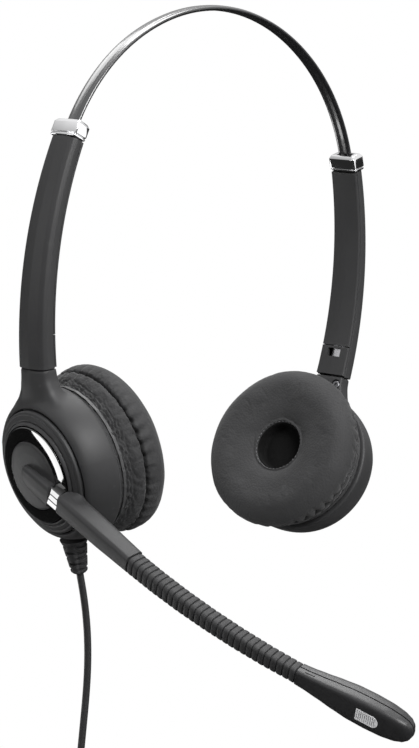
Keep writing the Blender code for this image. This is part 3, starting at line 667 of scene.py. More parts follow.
def make_housing(side, label, place):
    body = label + "_arm"
    crown = spline([(21.0, -0.85), (22.3, -1.05), (23.5, -2.4), (24.6, -5.2), (25.3, -8.6),
                    (DOME_RADIUS, -11.8)], 5)
    profile = [(0, -0.85)] + crown + [(25.55, -12.6), (25.2, -13.0), (0, -13.0)]
    solid = temp_object(joined(lathe_bm(profile, TURNED_STEPS), skin_bm(neck_rings(side, place))))
    mod = solid.modifiers.new("fuse", "REMESH")
    mod.mode = "VOXEL"
    mod.voxel_size = 0.42
    solid = new_object("work", baked(solid))

    def near_joint(p):
        """Strong on the fillet between dome and neck, weak elsewhere."""
        radius = hypot(p.x, p.y)
        if p.z < -12.0:
            return 0.12
        if p.y > 29.0:
            return 0.2
        if p.y > 6.0 and radius > 20.5:
            return min(1.0, (p.y - 6.0) / 6.0) * min(1.0, (29.0 - p.y) / 3.0 + 0.2)
        return 0.35

    solid = smooth_where(solid, near_joint, 0.5, 70)
    hollow = [(0, 14.0), (22.6, 14.0), (22.2, -0.3), (21.75, -0.95), (RECESS_RADIUS, -1.35),
              (RECESS_RADIUS, HUB_FLOOR), (6.0, HUB_FLOOR), (6.0, -4.9), (22.0, -4.9), (23.4, -8.2),
              (23.95, -12.0), (23.95, -20.0), (0, -20.0)]
    cutters = [lathe_bm(hollow, TURNED_STEPS)]
    seat_hole = [(0, 5.0), (1.95, 5.0), (1.95, -0.6), (0.95, -0.6), (0.95, -4.1), (0, -4.1)]
    for sign, where in ((-1, "front"), (1, "rear")):
        seat = screw_seat(side, sign)
        hole = lathe_bm(seat_hole, 40)
        hole.transform(place.inverted() @ seat)
        cutters.append(hole)
        make_screw(label, where, seat, body)
    solid = cut(solid, joined(*cutters))
    housing = finished(solid, label + "_ear_shell", MATS["soft_touch"], place, sharp=38)
    stand_in(housing, body, "soft_touch", label + "_housing")


def make_screw(label, where, seat, body):
    """Screw with a recess in its head; the recess's wall starts above its floor at z 0.15."""
    rim = fillet([(0.62, 0.75), (0.62, 0.15), (0.66, 0.15), (0.7, 0.78), (1.3, 0.75), (1.6, 0.45),
                  (1.6, -0.3), (0.65, -0.3), (0.65, -3.8), (0, -3.8)], 0.08, closed=False, steps=2)
    profile = [(0, 0.15)] + rim[1:]
    screw = lathe(label + "_screw_" + where, profile, MATS["dark_screw"], seat, 48)
    stand_in(screw, body, "spring_steel", label + "_neck_screw_" + where)


# ---- cushions

CUSHION_STEPS = 400
SKIRT_RADIUS = 23.95
# radius and height of the sewn edge
SEAM_AT = (26.5, -22.25)
# puckers round the seam, size and phase of each wave
WAVES = [(41, 1.0, 0.31), (37, 0.55, 1.7), (46, 0.5, 4.1), (17, 0.2, 2.6), (83, 0.25, 0.9)]


def gathers(turn, shift=0.0):
    """Uneven puckers round the seam, about -1 to 1."""
    total = sum(size * sin(count * turn + phase + shift) for count, size, phase in WAVES)
    return total / 2.0


def cushion_profile():
    """(radius, z) points of the skirt, of the front and of the inner wall with the flange, in order."""
    back = spline([(24.0, -13.3), (24.0, -14.0), (24.15, -15.0), (24.5, -16.1), (25.1, -17.3), (25.9, -18.5),
                   (26.65, -19.8), (27.15, -21.0), (27.05, -21.8), SEAM_AT], 5)
    front = spline([SEAM_AT, (27.5, -22.5), (27.85, -23.6), (27.85, -25.2), (27.1, -27.7), (25.3, -29.9),
                    (22.6, -31.5), (19.4, -32.15), (16.0, -31.95), (12.9, -31.3), (10.6, -30.45),
                    (9.3, -29.7), (8.85, -29.1)], 6)
    inner = spline([(8.85, -29.1), (8.6, -28.3), (8.65, -25.0), (8.9, -17.0), (9.6, -16.1), (14.0, -15.95),
                    (22.8, -15.95), (23.8, -15.1), (23.9, -13.6), (24.0, -13.3)], 3)
    return back[:-1], front, inner[1:-1]


def bumps(turn, wavelengths, level, shift=0.0):
    """Smooth noise that closes on itself round the cushion."""
    return noise.noise(Vector((cos(turn) * wavelengths + shift, sin(turn) * wavelengths, level)))


def seam_pull(turn, r, z):
    """Radial and axial shift of the cover round its gathered seam."""
    off = hypot(r - SEAM_AT[0], z - SEAM_AT[1])
    ahead = z < SEAM_AT[1]
    dz = (0.62 if ahead else 0.12) * gathers(turn) * exp(-(off / 2.2) ** 2)
    dr = -1.35 * exp(-(off / 0.72) ** 2)
    pull = exp(-(off / (2.6 if ahead else 2.0)) ** 2) * (1 - exp(-(off / 0.7) ** 2))
    dr += (0.5 if ahead else 0.35) * gathers(turn, 0.0 if ahead else 0.9) * pull
    dr += 0.16 * bumps(turn, 22.0, z * 0.35) * exp(-(off / 4.0) ** 2)
    dr += 0.2 * bumps(turn, 3.1, z * 0.22) * (1 - exp(-(off / 1.5) ** 2))
    dz += 0.2 * bumps(turn, 2.3, r * 0.2, shift=9)
    return dr, dz


def skirt_crumple(turn, z):
    folds = 0.24 * sin(z * 6.5 + 6.0 * bumps(turn, 9.0, 4.0)) + 0.6 * bumps(turn, 17.0, z * 1.7)
    return exp(-((z + 15.9) / 2.1) ** 4) * folds


def make_cushion_mesh():
    """Ring of foam in a sewn cover, in the capsule's frame."""
    back, front, inner = cushion_profile()
    bm = bmesh.new()
    rings = []
    for index, (r, z) in enumerate(back + front + inner):
        ring = []
        for turn in around(CUSHION_STEPS):
            dr, dz = 0.0, 0.0
            if index < len(back) + len(front):
                dr, dz = seam_pull(turn, r, z)
                if z > -19.0 and r < 26.4:
                    dr = max(dr + skirt_crumple(turn, z), SKIRT_RADIUS - r)
            ring.append(bm.verts.new(((r + dr) * cos(turn), (r + dr) * sin(turn), z + dz)))
        rings.append(ring)
    stitch(bm, rings, loop=True)
    bmesh.ops.recalc_face_normals(bm, faces=bm.faces)
    return temp_object(bm), len(back), len(front)


CLOTH_SCALE = 10.0 * MM
CLOTH_CAP = 0.8
CLOTH_FRAMES = 20
SKIRT_RINGS = 22
SEAM_RINGS = 3


def puff(obj, back_rings, front_rings):
    """Inflate the cover between its pinned seams with cloth, and cap how far it moves."""
    rest = [v.co.copy() for v in obj.data.vertices]
    pins = obj.vertex_groups.new(name="pins")
    seam, edge = back_rings, back_rings + front_rings
    for index in range(len(rest) // CUSHION_STEPS):
        free = (SKIRT_RINGS < index < seam - SEAM_RINGS) or (seam + SEAM_RINGS < index < edge - SEAM_RINGS)
        ring = range(index * CUSHION_STEPS, (index + 1) * CUSHION_STEPS)
        pins.add(ring, 0.0 if free else 1.0, "REPLACE")
    obj.data.transform(Matrix.Scale(CLOTH_SCALE, 4))
    mod = obj.modifiers.new("cover", "CLOTH")
    cloth = mod.settings
    cloth.vertex_group_mass = "pins"
    cloth.use_pressure = True
    cloth.uniform_pressure_force = 4.0
    cloth.effector_weights.gravity = 0.0
    cloth.shrink_min = -0.03
    cloth.shrink_max = -0.03
    cloth.tension_stiffness = 20.0
    cloth.compression_stiffness = 12.0
    cloth.bending_stiffness = 0.3
    cloth.quality = 6
    mod.collision_settings.use_collision = False
    mod.point_cache.frame_start = 1
    mod.point_cache.frame_end = CLOTH_FRAMES
    for number in range(1, CLOTH_FRAMES + 1):
        scene.frame_set(number)
    mesh = baked(obj)
    scene.frame_set(1)
    for v, start in zip(mesh.vertices, rest):
        moved = v.co / CLOTH_SCALE - start
        if moved.length > CLOTH_CAP:
            moved *= CLOTH_CAP / moved.length
        v.co = start + moved
    return mesh


def make_cushions():
    work, back_rings, front_rings = make_cushion_mesh()
    mesh = puff(work, back_rings, front_rings)
    for label, place, spin in (("right", RIGHT, 0.0), ("left", LEFT, 2.1)):
        body = label + "_arm"
        turned = place @ Matrix.Rotation(spin, 4, "Z")
        cushion = add_mesh(label + "_cushion_cover", mesh.copy(), MATS["leatherette"], turned, sharp=60)
        stand_in(cushion, body, "leatherette", label + "_ear_cushion")
        make_stitches(label, place, body)
        make_ear_cloth(label, place, body)
    bpy.data.meshes.remove(mesh)


def capsule_bead(length, radius):
    """Short thread stitch along x."""
    bm = bmesh.new()
    bmesh.ops.create_uvsphere(bm, u_segments=8, v_segments=6, radius=radius)
    bmesh.ops.scale(bm, vec=(length / radius / 2, 1, 1), verts=bm.verts)
    return bm


def make_stitches(label, place, body):
    """Row of thread round the inner edge of the cushion's front."""
    beads = []
    for turn in around(40):
        bead = capsule_bead(0.95, 0.13)
        bead.transform(Matrix.Rotation(turn, 4, "Z") @ Matrix.Translation((8.78, 0, -28.95))
                       @ Matrix.Rotation(radians(86), 4, "Z"))
        beads.append(bead)
    stitches = add_object(label + "_cushion_stitches", joined(*beads), MATS["thread"], place)
    stand_in(stitches, body, "leatherette")


def make_ear_cloth(label, place, body):
    profile = fillet([(0, -16.4), (8.5, -16.4), (8.56, -28.3), (8.4, -28.45), (8.2, -28.2), (8.1, -24.4),
                      (7.4, -23.9), (4.0, -24.3), (0, -24.45)], 0.3, closed=False)
    cloth = lathe(label + "_ear_cloth", profile, MATS["speaker_cloth"], place, 96)
    stand_in(cloth, body, "speaker_cloth", label + "_speaker_cloth")


# ---- hubs

# (radius, z) profiles of the rim that is one piece with the boom, of the gloss ring and of the cap
RIM = [(16.5, -1.5), (16.5, 1.6), (16.6, 1.85), (16.9, 1.95), (17.15, 1.8), (17.5, 1.25), (17.6, 0.8),
       (17.85, 0.72), (17.95, 1.0), (18.25, 1.02), (19.5, 0.45), (19.65, 0.3), (19.9, 0.38), (20.5, 0.15),
       (20.75, -0.15), (20.8, -0.6), (20.8, -2.4)]
RING = [(11.9, -1.2), (11.9, 3.05), (15.95, 2.35), (16.2, 2.1), (16.2, -1.2)]
CAP = [(0, 4.15), (4.0, 4.1), (8.0, 3.85), (10.6, 3.55), (11.4, 3.3), (CAP_RADIUS, 2.95),
       (CAP_RADIUS, -1.2), (10.4, -1.2), (10.4, 1.9), (0, 1.9)]


def make_left_hub():
    pieces = (
        ("left_hub_rim", [(0, -1.5)] + RIM + [(0, -2.4)], "soft_touch", "left_hub_cover", False),
        ("left_hub_gloss", RING, "gloss_black", "left_hub_ring", True),
        ("left_hub_disc", CAP, "soft_touch", "left_hub_cap", False),
    )
    for name, profile, mat, cad, closed in pieces:
        rounded = fillet(profile, 0.1, closed=closed, steps=2)
        piece = lathe(name, rounded, MATS[mat], LEFT, TURNED_STEPS, closed, sharp=20)
        stand_in(piece, "left_arm", mat, cad)


# distance from the hub's axis, half width, crest height, base height
RIDGE = [(-4.0, 1.2, 4.4, -0.95), (-3.7, 2.2, 5.2, -0.95), (-2.9, 3.05, 5.8, -0.95), (-1.2, 3.6, 6.1, -0.95),
         (2.0, 3.9, 6.3, -0.95), (6.0, 4.05, 6.45, -0.95), (11.0, 4.1, 6.5, -0.95), (16.0, 4.0, 6.5, -0.95),
         (24.0, 3.95, 6.5, -0.95), (36.0, 3.8, 6.4, -0.8), (45.0, 3.55, 6.2, -0.5), (51.2, 3.35, 6.1, -0.4)]


def boom_section(half, top, base, flare=0.0):
    """Flat-topped section with soft shoulders, in the plane across the boom."""
    tall = top - base
    points = [(-half * 0.80 - flare, base), (-half - flare * 0.6, base + tall * 0.16),
              (-half, base + tall * 0.52), (-half * 0.93, base + tall * 0.84), (-half * 0.60, top - 0.12),
              (0.0, top + 0.04),
              (half * 0.66, top - 0.08), (half * 0.95, base + tall * 0.88), (half, base + tall * 0.52),
              (half + flare * 0.6, base + tall * 0.16), (half * 0.80 + flare, base)]
    return fillet(points, 0.5, steps=4)


def ridge_bm(base, low, high, count=60, flare=None):
    """base is the height that the solid starts from, or None for the table's own."""
    rings = []
    for a in spread(low, high, count):
        half, top, own = table(RIDGE, a)
        wide = flare(a) if flare else 0.0
        section = boom_section(half, top, own if base is None else base, wide)
        rings.append([Vector((a, y, z)) for y, z in section])
    return skin_bm(rings)


# Polished facets from the crest down: right edge and width as shares of the half width, tilt in degrees
FACETS = ((-0.04, 12.0, 0.36), (0.43, 17.0, 0.36), (0.9, 22.0, 0.36))


def faceted_ridge_bm(low, high):
    """Part of the ridge that crosses the gloss ring, with three facets parted by fine grooves."""
    half, top = 4.0, 6.5
    points = [(-half * 0.8, -0.7), (-half, 0.6), (-half, 3.4), (-half * 0.9, 5.3)]
    crest = []
    height = top + 0.02
    for edge, tilt, width in FACETS:
        left = (edge - width) * half
        right = edge * half
        drop = (right - left) * sin(radians(tilt))
        crest += [(left - 0.3, height - 0.5), (left, height), (right, height - drop)]
        height -= drop + 0.02
    points += crest + [(half * 0.97, 4.2), (half, 3.0), (half, 0.6), (half * 0.8, -0.7)]
    rings = [[Vector((a, y, z)) for y, z in points] for a in spread(low, high, 16)]
    return skin_bm(rings)


def outside_bm(inner, low=-8.0, high=14.0):
    """All that is further out than a radius."""
    return lathe_bm([(inner, high), (120.0, high), (120.0, low), (inner, low)], TURNED_STEPS, closed=True)


def inside_bm(radius, low=-8.0, high=14.0):
    """All that is nearer the axis than a radius."""
    return lathe_bm([(0, high), (radius, high), (radius, low), (0, low)], TURNED_STEPS)


def make_boom_hub():
    """Cap and gloss ring, each with its stretch of the teardrop ridge."""
    cap = temp_object(lathe_bm(fillet(CAP, 0.12, closed=False, steps=2), TURNED_STEPS))
    cap = cut(combine(cap, ridge_bm(2.4, -4.0, 14.0, 80), "UNION"), outside_bm(CAP_RADIUS))
    disc = finished(cap, "boom_hub_disc", MATS["soft_touch"], BOOM, sharp=28)
    stand_in(disc, "boom", "soft_touch", "boom_hub_cap")
    ring = temp_object(lathe_bm(fillet(RING, 0.06, steps=2), TURNED_STEPS, closed=True))
    ring = cut(combine(ring, faceted_ridge_bm(8.0, 19.0), "UNION"), inside_bm(11.88), outside_bm(16.22))
    gloss = finished(ring, "boom_hub_gloss", MATS["gloss_black"], BOOM, sharp=20)
    stand_in(gloss, "boom", "gloss_black", "boom_hub_ring")


def make_boom_arm():
    rim = [(2.4, -2.4), (2.4, -1.5)] + RIM
    turned = temp_object(lathe_bm(fillet(rim, 0.1, steps=2), TURNED_STEPS, closed=True))

    def flare(a):
        """The ridge's foot widens where it meets the rim."""
        return 1.5 * exp(-((a - 19.2) / 2.0) ** 2)

    arm = combine(turned, ridge_bm(None, 13.0, BOOM_END + 0.15, 80, flare), "UNION")
    piece = finished(cut(arm, inside_bm(16.5, -1.5)), "boom_moulding", MATS["soft_touch"], BOOM, sharp=28)
    stand_in(piece, "boom", "soft_touch", "boom_arm")


# ---- gooseneck sleeve

RIB_PITCH = LINK_LENGTH / RIBS_PER_LINK
RIBS = LINKS * RIBS_PER_LINK
GROOVE = 0.45
# share of the pitch, depth below the crest
RIB_PROFILE = ((0.0, GROOVE), (0.10, 0.42), (0.16, 0.14), (0.30, 0.04), (0.55, 0.0), (0.80, 0.0),
               (0.92, 0.06), (0.97, 0.30))


def sleeve_centre(along):
    """Point of the sleeve's centreline, in the boom's frame."""
    index = max(0, min(LINKS - 1, int(along / LINK_LENGTH)))
    start = link_frame(index).translation
    return start.lerp(link_frame(index + 1).translation, along / LINK_LENGTH - index)


def sleeve_ring(along, drop, share):
    """Ring of the sleeve at a distance along it. drop lowers the surface, share runs 0 to 1."""
    centre = sleeve_centre(along)
    turn = Matrix.Rotation(LINK_BEND * (0.5 + along / LINK_LENGTH), 4, "Y")
    half = 3.3 - 0.6 * share - drop
    power = 3.4 + 1.2 * share
    return [centre + turn @ Vector((0.0, a, b)) for a, b in oval(half, half * 0.97, power)]


def sleeve_rings(first, last):
    """Rings for ribs number first to last - 1."""
    rings = []
    for rib in range(first, last):
        rings += [sleeve_ring((rib + at) * RIB_PITCH, drop, rib / RIBS) for at, drop in RIB_PROFILE]
    return rings + [sleeve_ring(last * RIB_PITCH, GROOVE, last / RIBS)]


def make_sleeves():
    """One stretch of sleeve over each hinge."""
    for hinge in range(LINKS + 1):
        middle = hinge * RIBS_PER_LINK
        rings = sleeve_rings(max(0, middle - 3), min(RIBS, middle + 2))
        piece = skin("sleeve_%d" % hinge, rings, MATS["rubber"], BOOM, sharp=45)
        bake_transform(piece)
        if hinge:
            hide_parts("gooseneck_sleeve_%d" % hinge)


# ---- microphone

# distance along, half width, half thickness, squareness
MIC_SHAPE = [
    (0.3, 2.8, 2.75, 4.6), (3.5, 2.95, 2.87, 4.9), (8.5, 3.48, 3.17, 5.2), (14.0, 4.2, 3.52, 5.4),
    (19.5, 4.8, 3.8, 5.2), (25.5, 5.0, 3.85, 4.9), (31.0, 4.9, 3.8, 4.4), (35.3, 4.45, 3.5, 3.9),
    (38.0, 3.75, 2.95, 3.3), (39.5, 2.75, 2.2, 2.8), (40.2, 1.3, 1.1, 2.4),
]


def mic_half_ring(x, side):
    """Section of one shell, with a step beside the parting line."""
    half_a, half_b, power = table(MIC_SHAPE, x)
    flat, groove = 0.1, 0.12
    ring = [Vector((x, half_a - 0.4, side * flat)), Vector((x, -half_a + 0.4, side * flat))]
    for turn in spread(pi, 0.0, 25):
        height = flat + groove + (half_b - flat - groove) * abs(sin(turn)) ** (2 / power)
        ring.append(Vector((x, half_a * squared(cos(turn), power), side * height)))
    return ring


def grille_block(half_x, half_y, low, high, side):
    """Block with one square end and one round end."""
    right = half_x - half_y
    outline = [(-half_x, -half_y)]
    for turn in spread(-pi / 2, pi / 2, 17):
        outline.append((right + half_y * cos(turn), half_y * sin(turn)))
    outline.append((-half_x, half_y))
    return skin_bm([[Vector((x + PORT_AT, y, side * z)) for x, y in outline] for z in (low, high)])


def mic_slit():
    """Narrow slot in the upper edge near the sleeve."""
    return box_bm((3.4, 1.4, 0.34), (4.4, 3.4, 1.3))


def make_mic():
    xs = [0.3, 0.45] + spread(0.9, 37.4, 44) + [38.0, 38.5, 39.0, 39.4, 39.7, 39.95, 40.1, 40.2]
    for name, side in (("outer", 1), ("inner", -1)):
        shell = temp_object(skin_bm([mic_half_ring(x, side) for x in xs]))
        seat = grille_block(3.9, 2.15, 3.35, 8.0, side)
        port = grille_block(3.1, 1.6, 0.8, 8.0, side)
        shell = cut(shell, seat, port)
        if side > 0:
            shell = cut(shell, mic_slit())
        piece = finished(shell, "mic_%s_case" % name, MATS["mic_touch"], MIC, sharp=30)
        stand_in(piece, "microphone", "soft_touch", "mic_%s_shell" % name)
        make_grille(name, side)


def make_grille(name, side):
    """Plate with ten slots that grow shorter towards its round end."""
    plate = temp_object(grille_block(3.85, 2.1, 3.38, 3.86, side))
    slots = []
    for k in range(10):
        x = -3.35 + 0.66 * k
        reach = 1.62 if x < 1.7 else 1.62 * max(0.35, 1 - ((x - 1.7) / 2.1) ** 2) ** 0.5
        slots.append(box_bm((0.24, 2 * reach, 2.0), (PORT_AT + x, 0, side * 3.6)))
    piece = finished(cut(plate, joined(*slots)), "mic_%s_mesh" % name, MATS["grille"], MIC)
    stand_in(piece, "microphone", "spring_steel", "mic_%s_grille" % name)


# ---- cable, boot, plug

BOOT = RIGHT @ Matrix.Translation((0, -25.9, -8.2)) @ Matrix.Rotation(pi / 2, 4, "X")
BOOT_LENGTH = 11.8
BOOT_HOLE = 1.35
SLOT_ROWS = 5
SLOT_DEPTH = 0.95


def clamped(value):
    return min(1.0, max(0.0, value))


def boot_slot(turn, z):
    """1 in a slot of the boot and 0 off it; the rows are turned to either side by turns."""
    deepest = 0.0
    for row in range(SLOT_ROWS):
        edge = clamped((0.52 - abs(z - 1.9 - row * 2.05)) / 0.14)
        centre = 0.45 if row % 2 else -0.45
        for face in (0.0, pi):
            off = atan2(sin(turn - face - centre), cos(turn - face - centre))
            deepest = max(deepest, edge * clamped((1.15 - abs(off)) / 0.12))
    return deepest


def make_boot():
    """Tapered boot with rows of slots that run part of the way round."""
    outer, inner = [], []
    for z in spread(0.0, BOOT_LENGTH, 119):
        radius = 4.6 - 1.75 * (z / BOOT_LENGTH)
        radius += 0.35 * exp(-(z / 0.8) ** 2)
        radius -= 0.5 * exp(-((z - BOOT_LENGTH) / 0.35) ** 2)
        ring, hole = [], []
        for turn in around(72):
            r = radius - SLOT_DEPTH * boot_slot(turn, z)
            ring.append(Vector((r * cos(turn), r * sin(turn) * 0.93, z)))
            hole.append(Vector((BOOT_HOLE * cos(turn), BOOT_HOLE * sin(turn), z)))
        outer.append(ring)
        inner.append(hole)
    boot = tube_skin("cable_boot", outer, inner, MATS["rubber"], BOOT, sharp=50)
    stand_in(boot, "right_arm", "rubber", "cable_strain_relief")


CABLE_RADIUS = 1.2
PLUG_HEIGHT = 42.0


def cable_path():
    """Straight out of the boot, round in one bend, and straight down into the plug."""
    start = BOOT @ Vector((0, 0, 0.3))
    heading = (BOOT.to_3x3() @ Vector((0, 0, 1.0))).normalized()
    leave = start + heading * 15.8
    end = millimetres(record_mounts["plug_face"]["pos_m"]) + Vector((0, 0, PLUG_HEIGHT))
    turn_end = Vector((end.x, end.y, leave.z - 52.0))
    handles = (leave, leave + heading * 22.0, turn_end + Vector((0, 0, 18.0)), turn_end)
    points = [start.lerp(leave, k / 6) for k in range(6)]
    for k in range(40):
        s = k / 40
        weights = ((1 - s) ** 3, 3 * s * (1 - s) ** 2, 3 * s * s * (1 - s), s ** 3)
        points.append(sum((p * w for p, w in zip(handles, weights)), Vector()))
    points += [turn_end.lerp(end, k / 6) for k in range(7)]
    return points


def make_cable():
    points = cable_path()
    rings = []
    side = Vector((0, 1, 0))
    for i, p in enumerate(points):
        ahead = (points[min(i + 1, len(points) - 1)] - points[max(i - 1, 0)]).normalized()
        a = ahead.cross(side).normalized()
        b = ahead.cross(a).normalized()
        rings.append([p + a * (CABLE_RADIUS * cos(turn)) + b * (CABLE_RADIUS * sin(turn))
                      for turn in around(24)])
    cable = skin("cable", rings, MATS["cable"], sharp=50)
    stand_in(cable, "right_arm", "rubber", "headset_cable")


# height, half width, half depth
PLUG_SHAPE = [(-33.0, 6.7, 4.1), (-32.6, 7.0, 4.4), (-30.0, 7.0, 4.45), (-22.0, 6.6, 4.2), (-14.0, 6.9, 4.35),
              (-12.0, 6.8, 4.25), (-9.0, 5.7, 3.8), (-7.0, 3.6, 3.35), (2.0, 3.1, 3.1), (4.3, 2.9, 2.9),
              (4.6, 2.4, 2.4)]
BLOCK_SHAPE = ((-33.3, 5.6, 3.1), (-41.5, 5.6, 3.1), (-41.85, 5.5, 3.0), (-42.0, 5.3, 2.8))
PIN_PLACES = [-3.6 + 2.4 * k for k in range(4)]


def plug_grip(z):
    """Depth of the finger ribs on the shell and of the grooves on its boot."""
    if -27.0 < z < -15.0:
        return 0.28 * max(0.0, sin((z + 27.0) * pi / 1.5)) ** 2
    if -6.0 < z < 3.5:
        return 0.45 * (sin((z + 6.0) * pi / 1.9) > 0.35)
    return 0.0


def oval_rings(levels, power):
    return [[Vector((a, b, z)) for a, b in oval(half_x, half_y, power)] for z, half_x, half_y in levels]


def make_plug():
    """Shell, contact block and contacts of the plug, at the cable's end."""
    place = Matrix.Translation(cable_path()[-1])
    levels = []
    for z in spread(PLUG_SHAPE[0][0], PLUG_SHAPE[-1][0], 150):
        half_x, half_y = table(PLUG_SHAPE, z)
        levels.append((z, half_x - plug_grip(z), half_y - plug_grip(z) * 0.6))
    seat = lathe_bm([(0, 8.0), (1.45, 8.0), (1.45, -0.3), (0, -0.3)], 32)
    shell = cut(temp_object(skin_bm(oval_rings(levels, 3.6))), seat)
    shell = finished(shell, "plug_body", MATS["inner_plastic"], place)
    stand_in(shell, "right_arm", "inner_plastic", "plug_shell")
    slots = [box_bm((1.3, 3.0, 8.0), (x, -2.9, -39.0)) for x in PIN_PLACES]
    block = cut(temp_object(skin_bm(oval_rings(BLOCK_SHAPE, 5.0))), joined(*slots))
    block = finished(block, "plug_face_block", MATS["gloss_black"], place)
    stand_in(block, "right_arm", "gloss_black", "plug_contact_block")
    contacts = []
    for x in PIN_PLACES:
        strip = box_bm((0.9, 0.35, 6.0), (x, -1.65, -38.4))
        bmesh.ops.bevel(strip, geom=strip.edges, offset=0.12, segments=2, affect="EDGES")
        contacts.append(strip)
    pins = add_object("plug_contacts", joined(*contacts), MATS["contacts"], place)
    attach(pins, "right_arm")


# ---- stage

def area_light(name, location, target, size, radiance, glossy_only=False):
    """Square soft panel with a stated radiance."""
    light = bpy.data.lights.new(name, "AREA")
    light.energy = radiance * pi * size * size
    light.shape = "SQUARE"
    light.size = size
    obj = new_object(name, light)
    obj.location = location
    obj.rotation_euler = (Vector(target) - Vector(location)).to_track_quat("-Z", "Y").to_euler()
    obj.visible_diffuse = not glossy_only
    return obj


def make_floor():
    """Pale floor that stays out of reflections."""
    bm = bmesh.new()
    bmesh.ops.create_grid(bm, x_segments=8, y_segments=8, size=60.0)
    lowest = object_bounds()[0].z
    floor = new_object("floor", mesh_of(bm, "floor"))
    floor.location = (0.0, 0.0, lowest - 0.002)
    mat = bpy.data.materials.new("pale_floor")
    mat.use_nodes = True
    tree = mat.node_tree
    shader = principled(mat)
    shader.inputs["Base Color"].default_value = (0.35, 0.35, 0.35, 1.0)
    shader.inputs["Roughness"].default_value = 0.9
    glow = node(tree, "ShaderNodeEmission", Strength=1.0)
    path = node(tree, "ShaderNodeLightPath")
    mix = node(tree, "ShaderNodeMixShader")
    tree.links.new(path.outputs["Is Camera Ray"], mix.inputs[0])
    tree.links.new(shader.outputs[0], mix.inputs[1])
    tree.links.new(glow.outputs[0], mix.inputs[2])
    tree.links.new(mix.outputs[0], tree.nodes["Material Output"].inputs["Surface"])
    floor.data.materials.append(mat)
    floor.visible_glossy = False
    floor.visible_shadow = False


def make_world():
    """White behind the object, soft ambient light, and reflections that grow lighter upwards."""
    world = bpy.data.worlds.new("studio")
    scene.world = world
    world.use_nodes = True
    tree = world.node_tree
    link = tree.links.new
    coords = node(tree, "ShaderNodeTexCoord")
    split = node(tree, "ShaderNodeSeparateXYZ")
    ramp = map_range(tree, 0.05, 0.6, 0.02, 0.9)
    path = node(tree, "ShaderNodeLightPath")
    mirrored = node(tree, "ShaderNodeMix", data_type="RGBA")
    mirrored.inputs[6].default_value = (0.13, 0.13, 0.13, 1.0)
    seen = node(tree, "ShaderNodeMix", data_type="RGBA")
    seen.inputs[7].default_value = (1.0, 1.0, 1.0, 1.0)
    link(coords.outputs["Generated"], split.inputs[0])
    link(split.outputs["Z"], ramp.inputs["Value"])
    link(ramp.outputs["Result"], mirrored.inputs[7])
    link(path.outputs["Is Glossy Ray"], mirrored.inputs[0])
    link(mirrored.outputs[2], seen.inputs[6])
    link(path.outputs["Is Camera Ray"], seen.inputs[0])
    link(seen.outputs[2], tree.nodes["Background"].inputs["Color"])
    scene.view_settings.view_transform = "Standard"


CAMERA_AZIMUTH = radians(-47.34)
CAMERA_HEIGHT = radians(3.44)
CAMERA_ROLL = radians(5.51)
CAMERA_DISTANCE = 986.3
CAMERA_TARGET = Vector((7.9, 0.0, 31.8 - CROWN_HEIGHT))


def camera_axes():
    """Directions to the right of the picture, up in it, and from it back to the camera."""
    level = cos(CAMERA_HEIGHT)
    back = Vector((sin(CAMERA_AZIMUTH) * level, -cos(CAMERA_AZIMUTH) * level, sin(CAMERA_HEIGHT)))
    right = (-back).cross(Vector((0, 0, 1))).normalized()
    up = right.cross(-back).normalized()
    across = cos(CAMERA_ROLL) * right + sin(CAMERA_ROLL) * up
    return across, -sin(CAMERA_ROLL) * right + cos(CAMERA_ROLL) * up, back


def make_camera():
    right, up, back = camera_axes()
    data = bpy.data.cameras.new("camera")
    data.lens = 139.1
    data.sensor_width = 36.0
    data.clip_start = 0.05
    data.clip_end = 100.0
    camera = new_object("camera", data)
    turn = Matrix((right, up, back)).transposed().to_4x4()
    camera.matrix_world = Matrix.Translation((CAMERA_TARGET + back * CAMERA_DISTANCE) * MM) @ turn
    scene.camera = camera


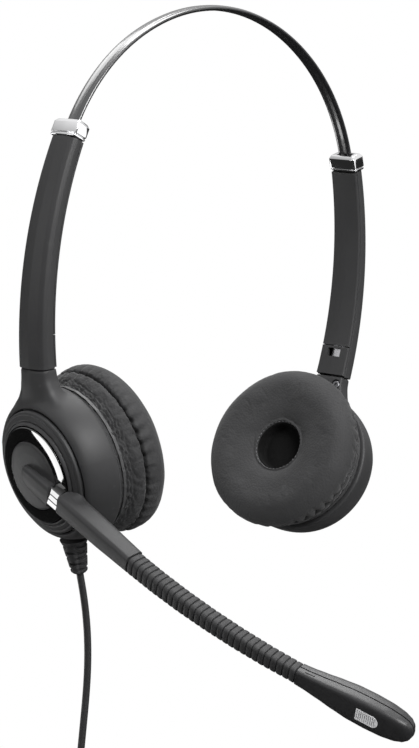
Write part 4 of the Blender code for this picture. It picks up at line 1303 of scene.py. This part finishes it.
def linked_parts(name, *pieces):
    """Collection of the pieces that a light's linking names."""
    group = bpy.data.collections.new(name)
    for piece in pieces:
        group.objects.link(bpy.data.objects[piece])
    return group


def make_lights():
    """Five soft panels, and two more that show only as reflections in the hub rings and in the band."""
    right, up, back = camera_axes()
    aim = CAMERA_TARGET * MM
    hub = hub_centre * MM
    area_light("key", aim + Vector((-0.3, -0.78, 0.58)) * 1.1, aim, 0.5, 18.0)
    area_light("top", aim + Vector((0.1, 0.15, 1.0)) * 0.9, aim, 0.5, 9.0)
    area_light("right_fill", aim + right * 0.8 + back * 0.2, aim, 0.5, 1.3)
    low_rim = area_light("low_rim", aim - right * 0.8 - back * 0.45 - up * 0.35, aim, 0.3, 5.0)
    area_light("left_fill", aim - right * 0.8 + back * 0.35 + up * 0.15, aim, 0.4, 2.6)
    panel = area_light("hub_panel", hub + Vector((-0.66, 0.66, -0.35)) * 0.6, hub, 0.27, 6.5, True)
    crown = Vector((-0.03, 0.0, -0.01))
    shine = area_light("band_panel", crown + Vector((-0.05, 0.68, 0.72)) * 0.8, crown, 0.5, 4.0, True)
    rings = ("boom_hub_gloss", "left_hub_gloss")
    shine.light_linking.receiver_collection = linked_parts("band_parts", "headband_strip")
    panel.light_linking.receiver_collection = linked_parts("glossy_parts", *rings)
    left_out = linked_parts("rings_left_out", *rings)
    low_rim.light_linking.receiver_collection = left_out
    for item in left_out.collection_objects:
        item.light_linking.link_state = "EXCLUDE"


# ---- remaining CAD nodes

def paint_cad():
    """Finish for each CAD node that no piece stands for."""
    for name, obj in frame["nodes"].items():
        if obj.hide_render:
            continue
        slot_name = next(s["material_slot"] for s in frame["record"]["subparts"] if s["node"] == name)
        for index in range(len(obj.material_slots)):
            obj.material_slots[index].link = "OBJECT"
            obj.material_slots[index].material = MATS[slot_name]


make_band()
for side, label, place in ((-1, "right", RIGHT), (1, "left", LEFT)):
    make_arm(side, label)
    make_housing(side, label, place)
make_cushions()
make_left_hub()
make_boom_hub()
make_boom_arm()
make_sleeves()
make_mic()
make_boot()
make_cable()
make_plug()
paint_cad()
make_floor()
make_world()
make_camera()
make_lights()
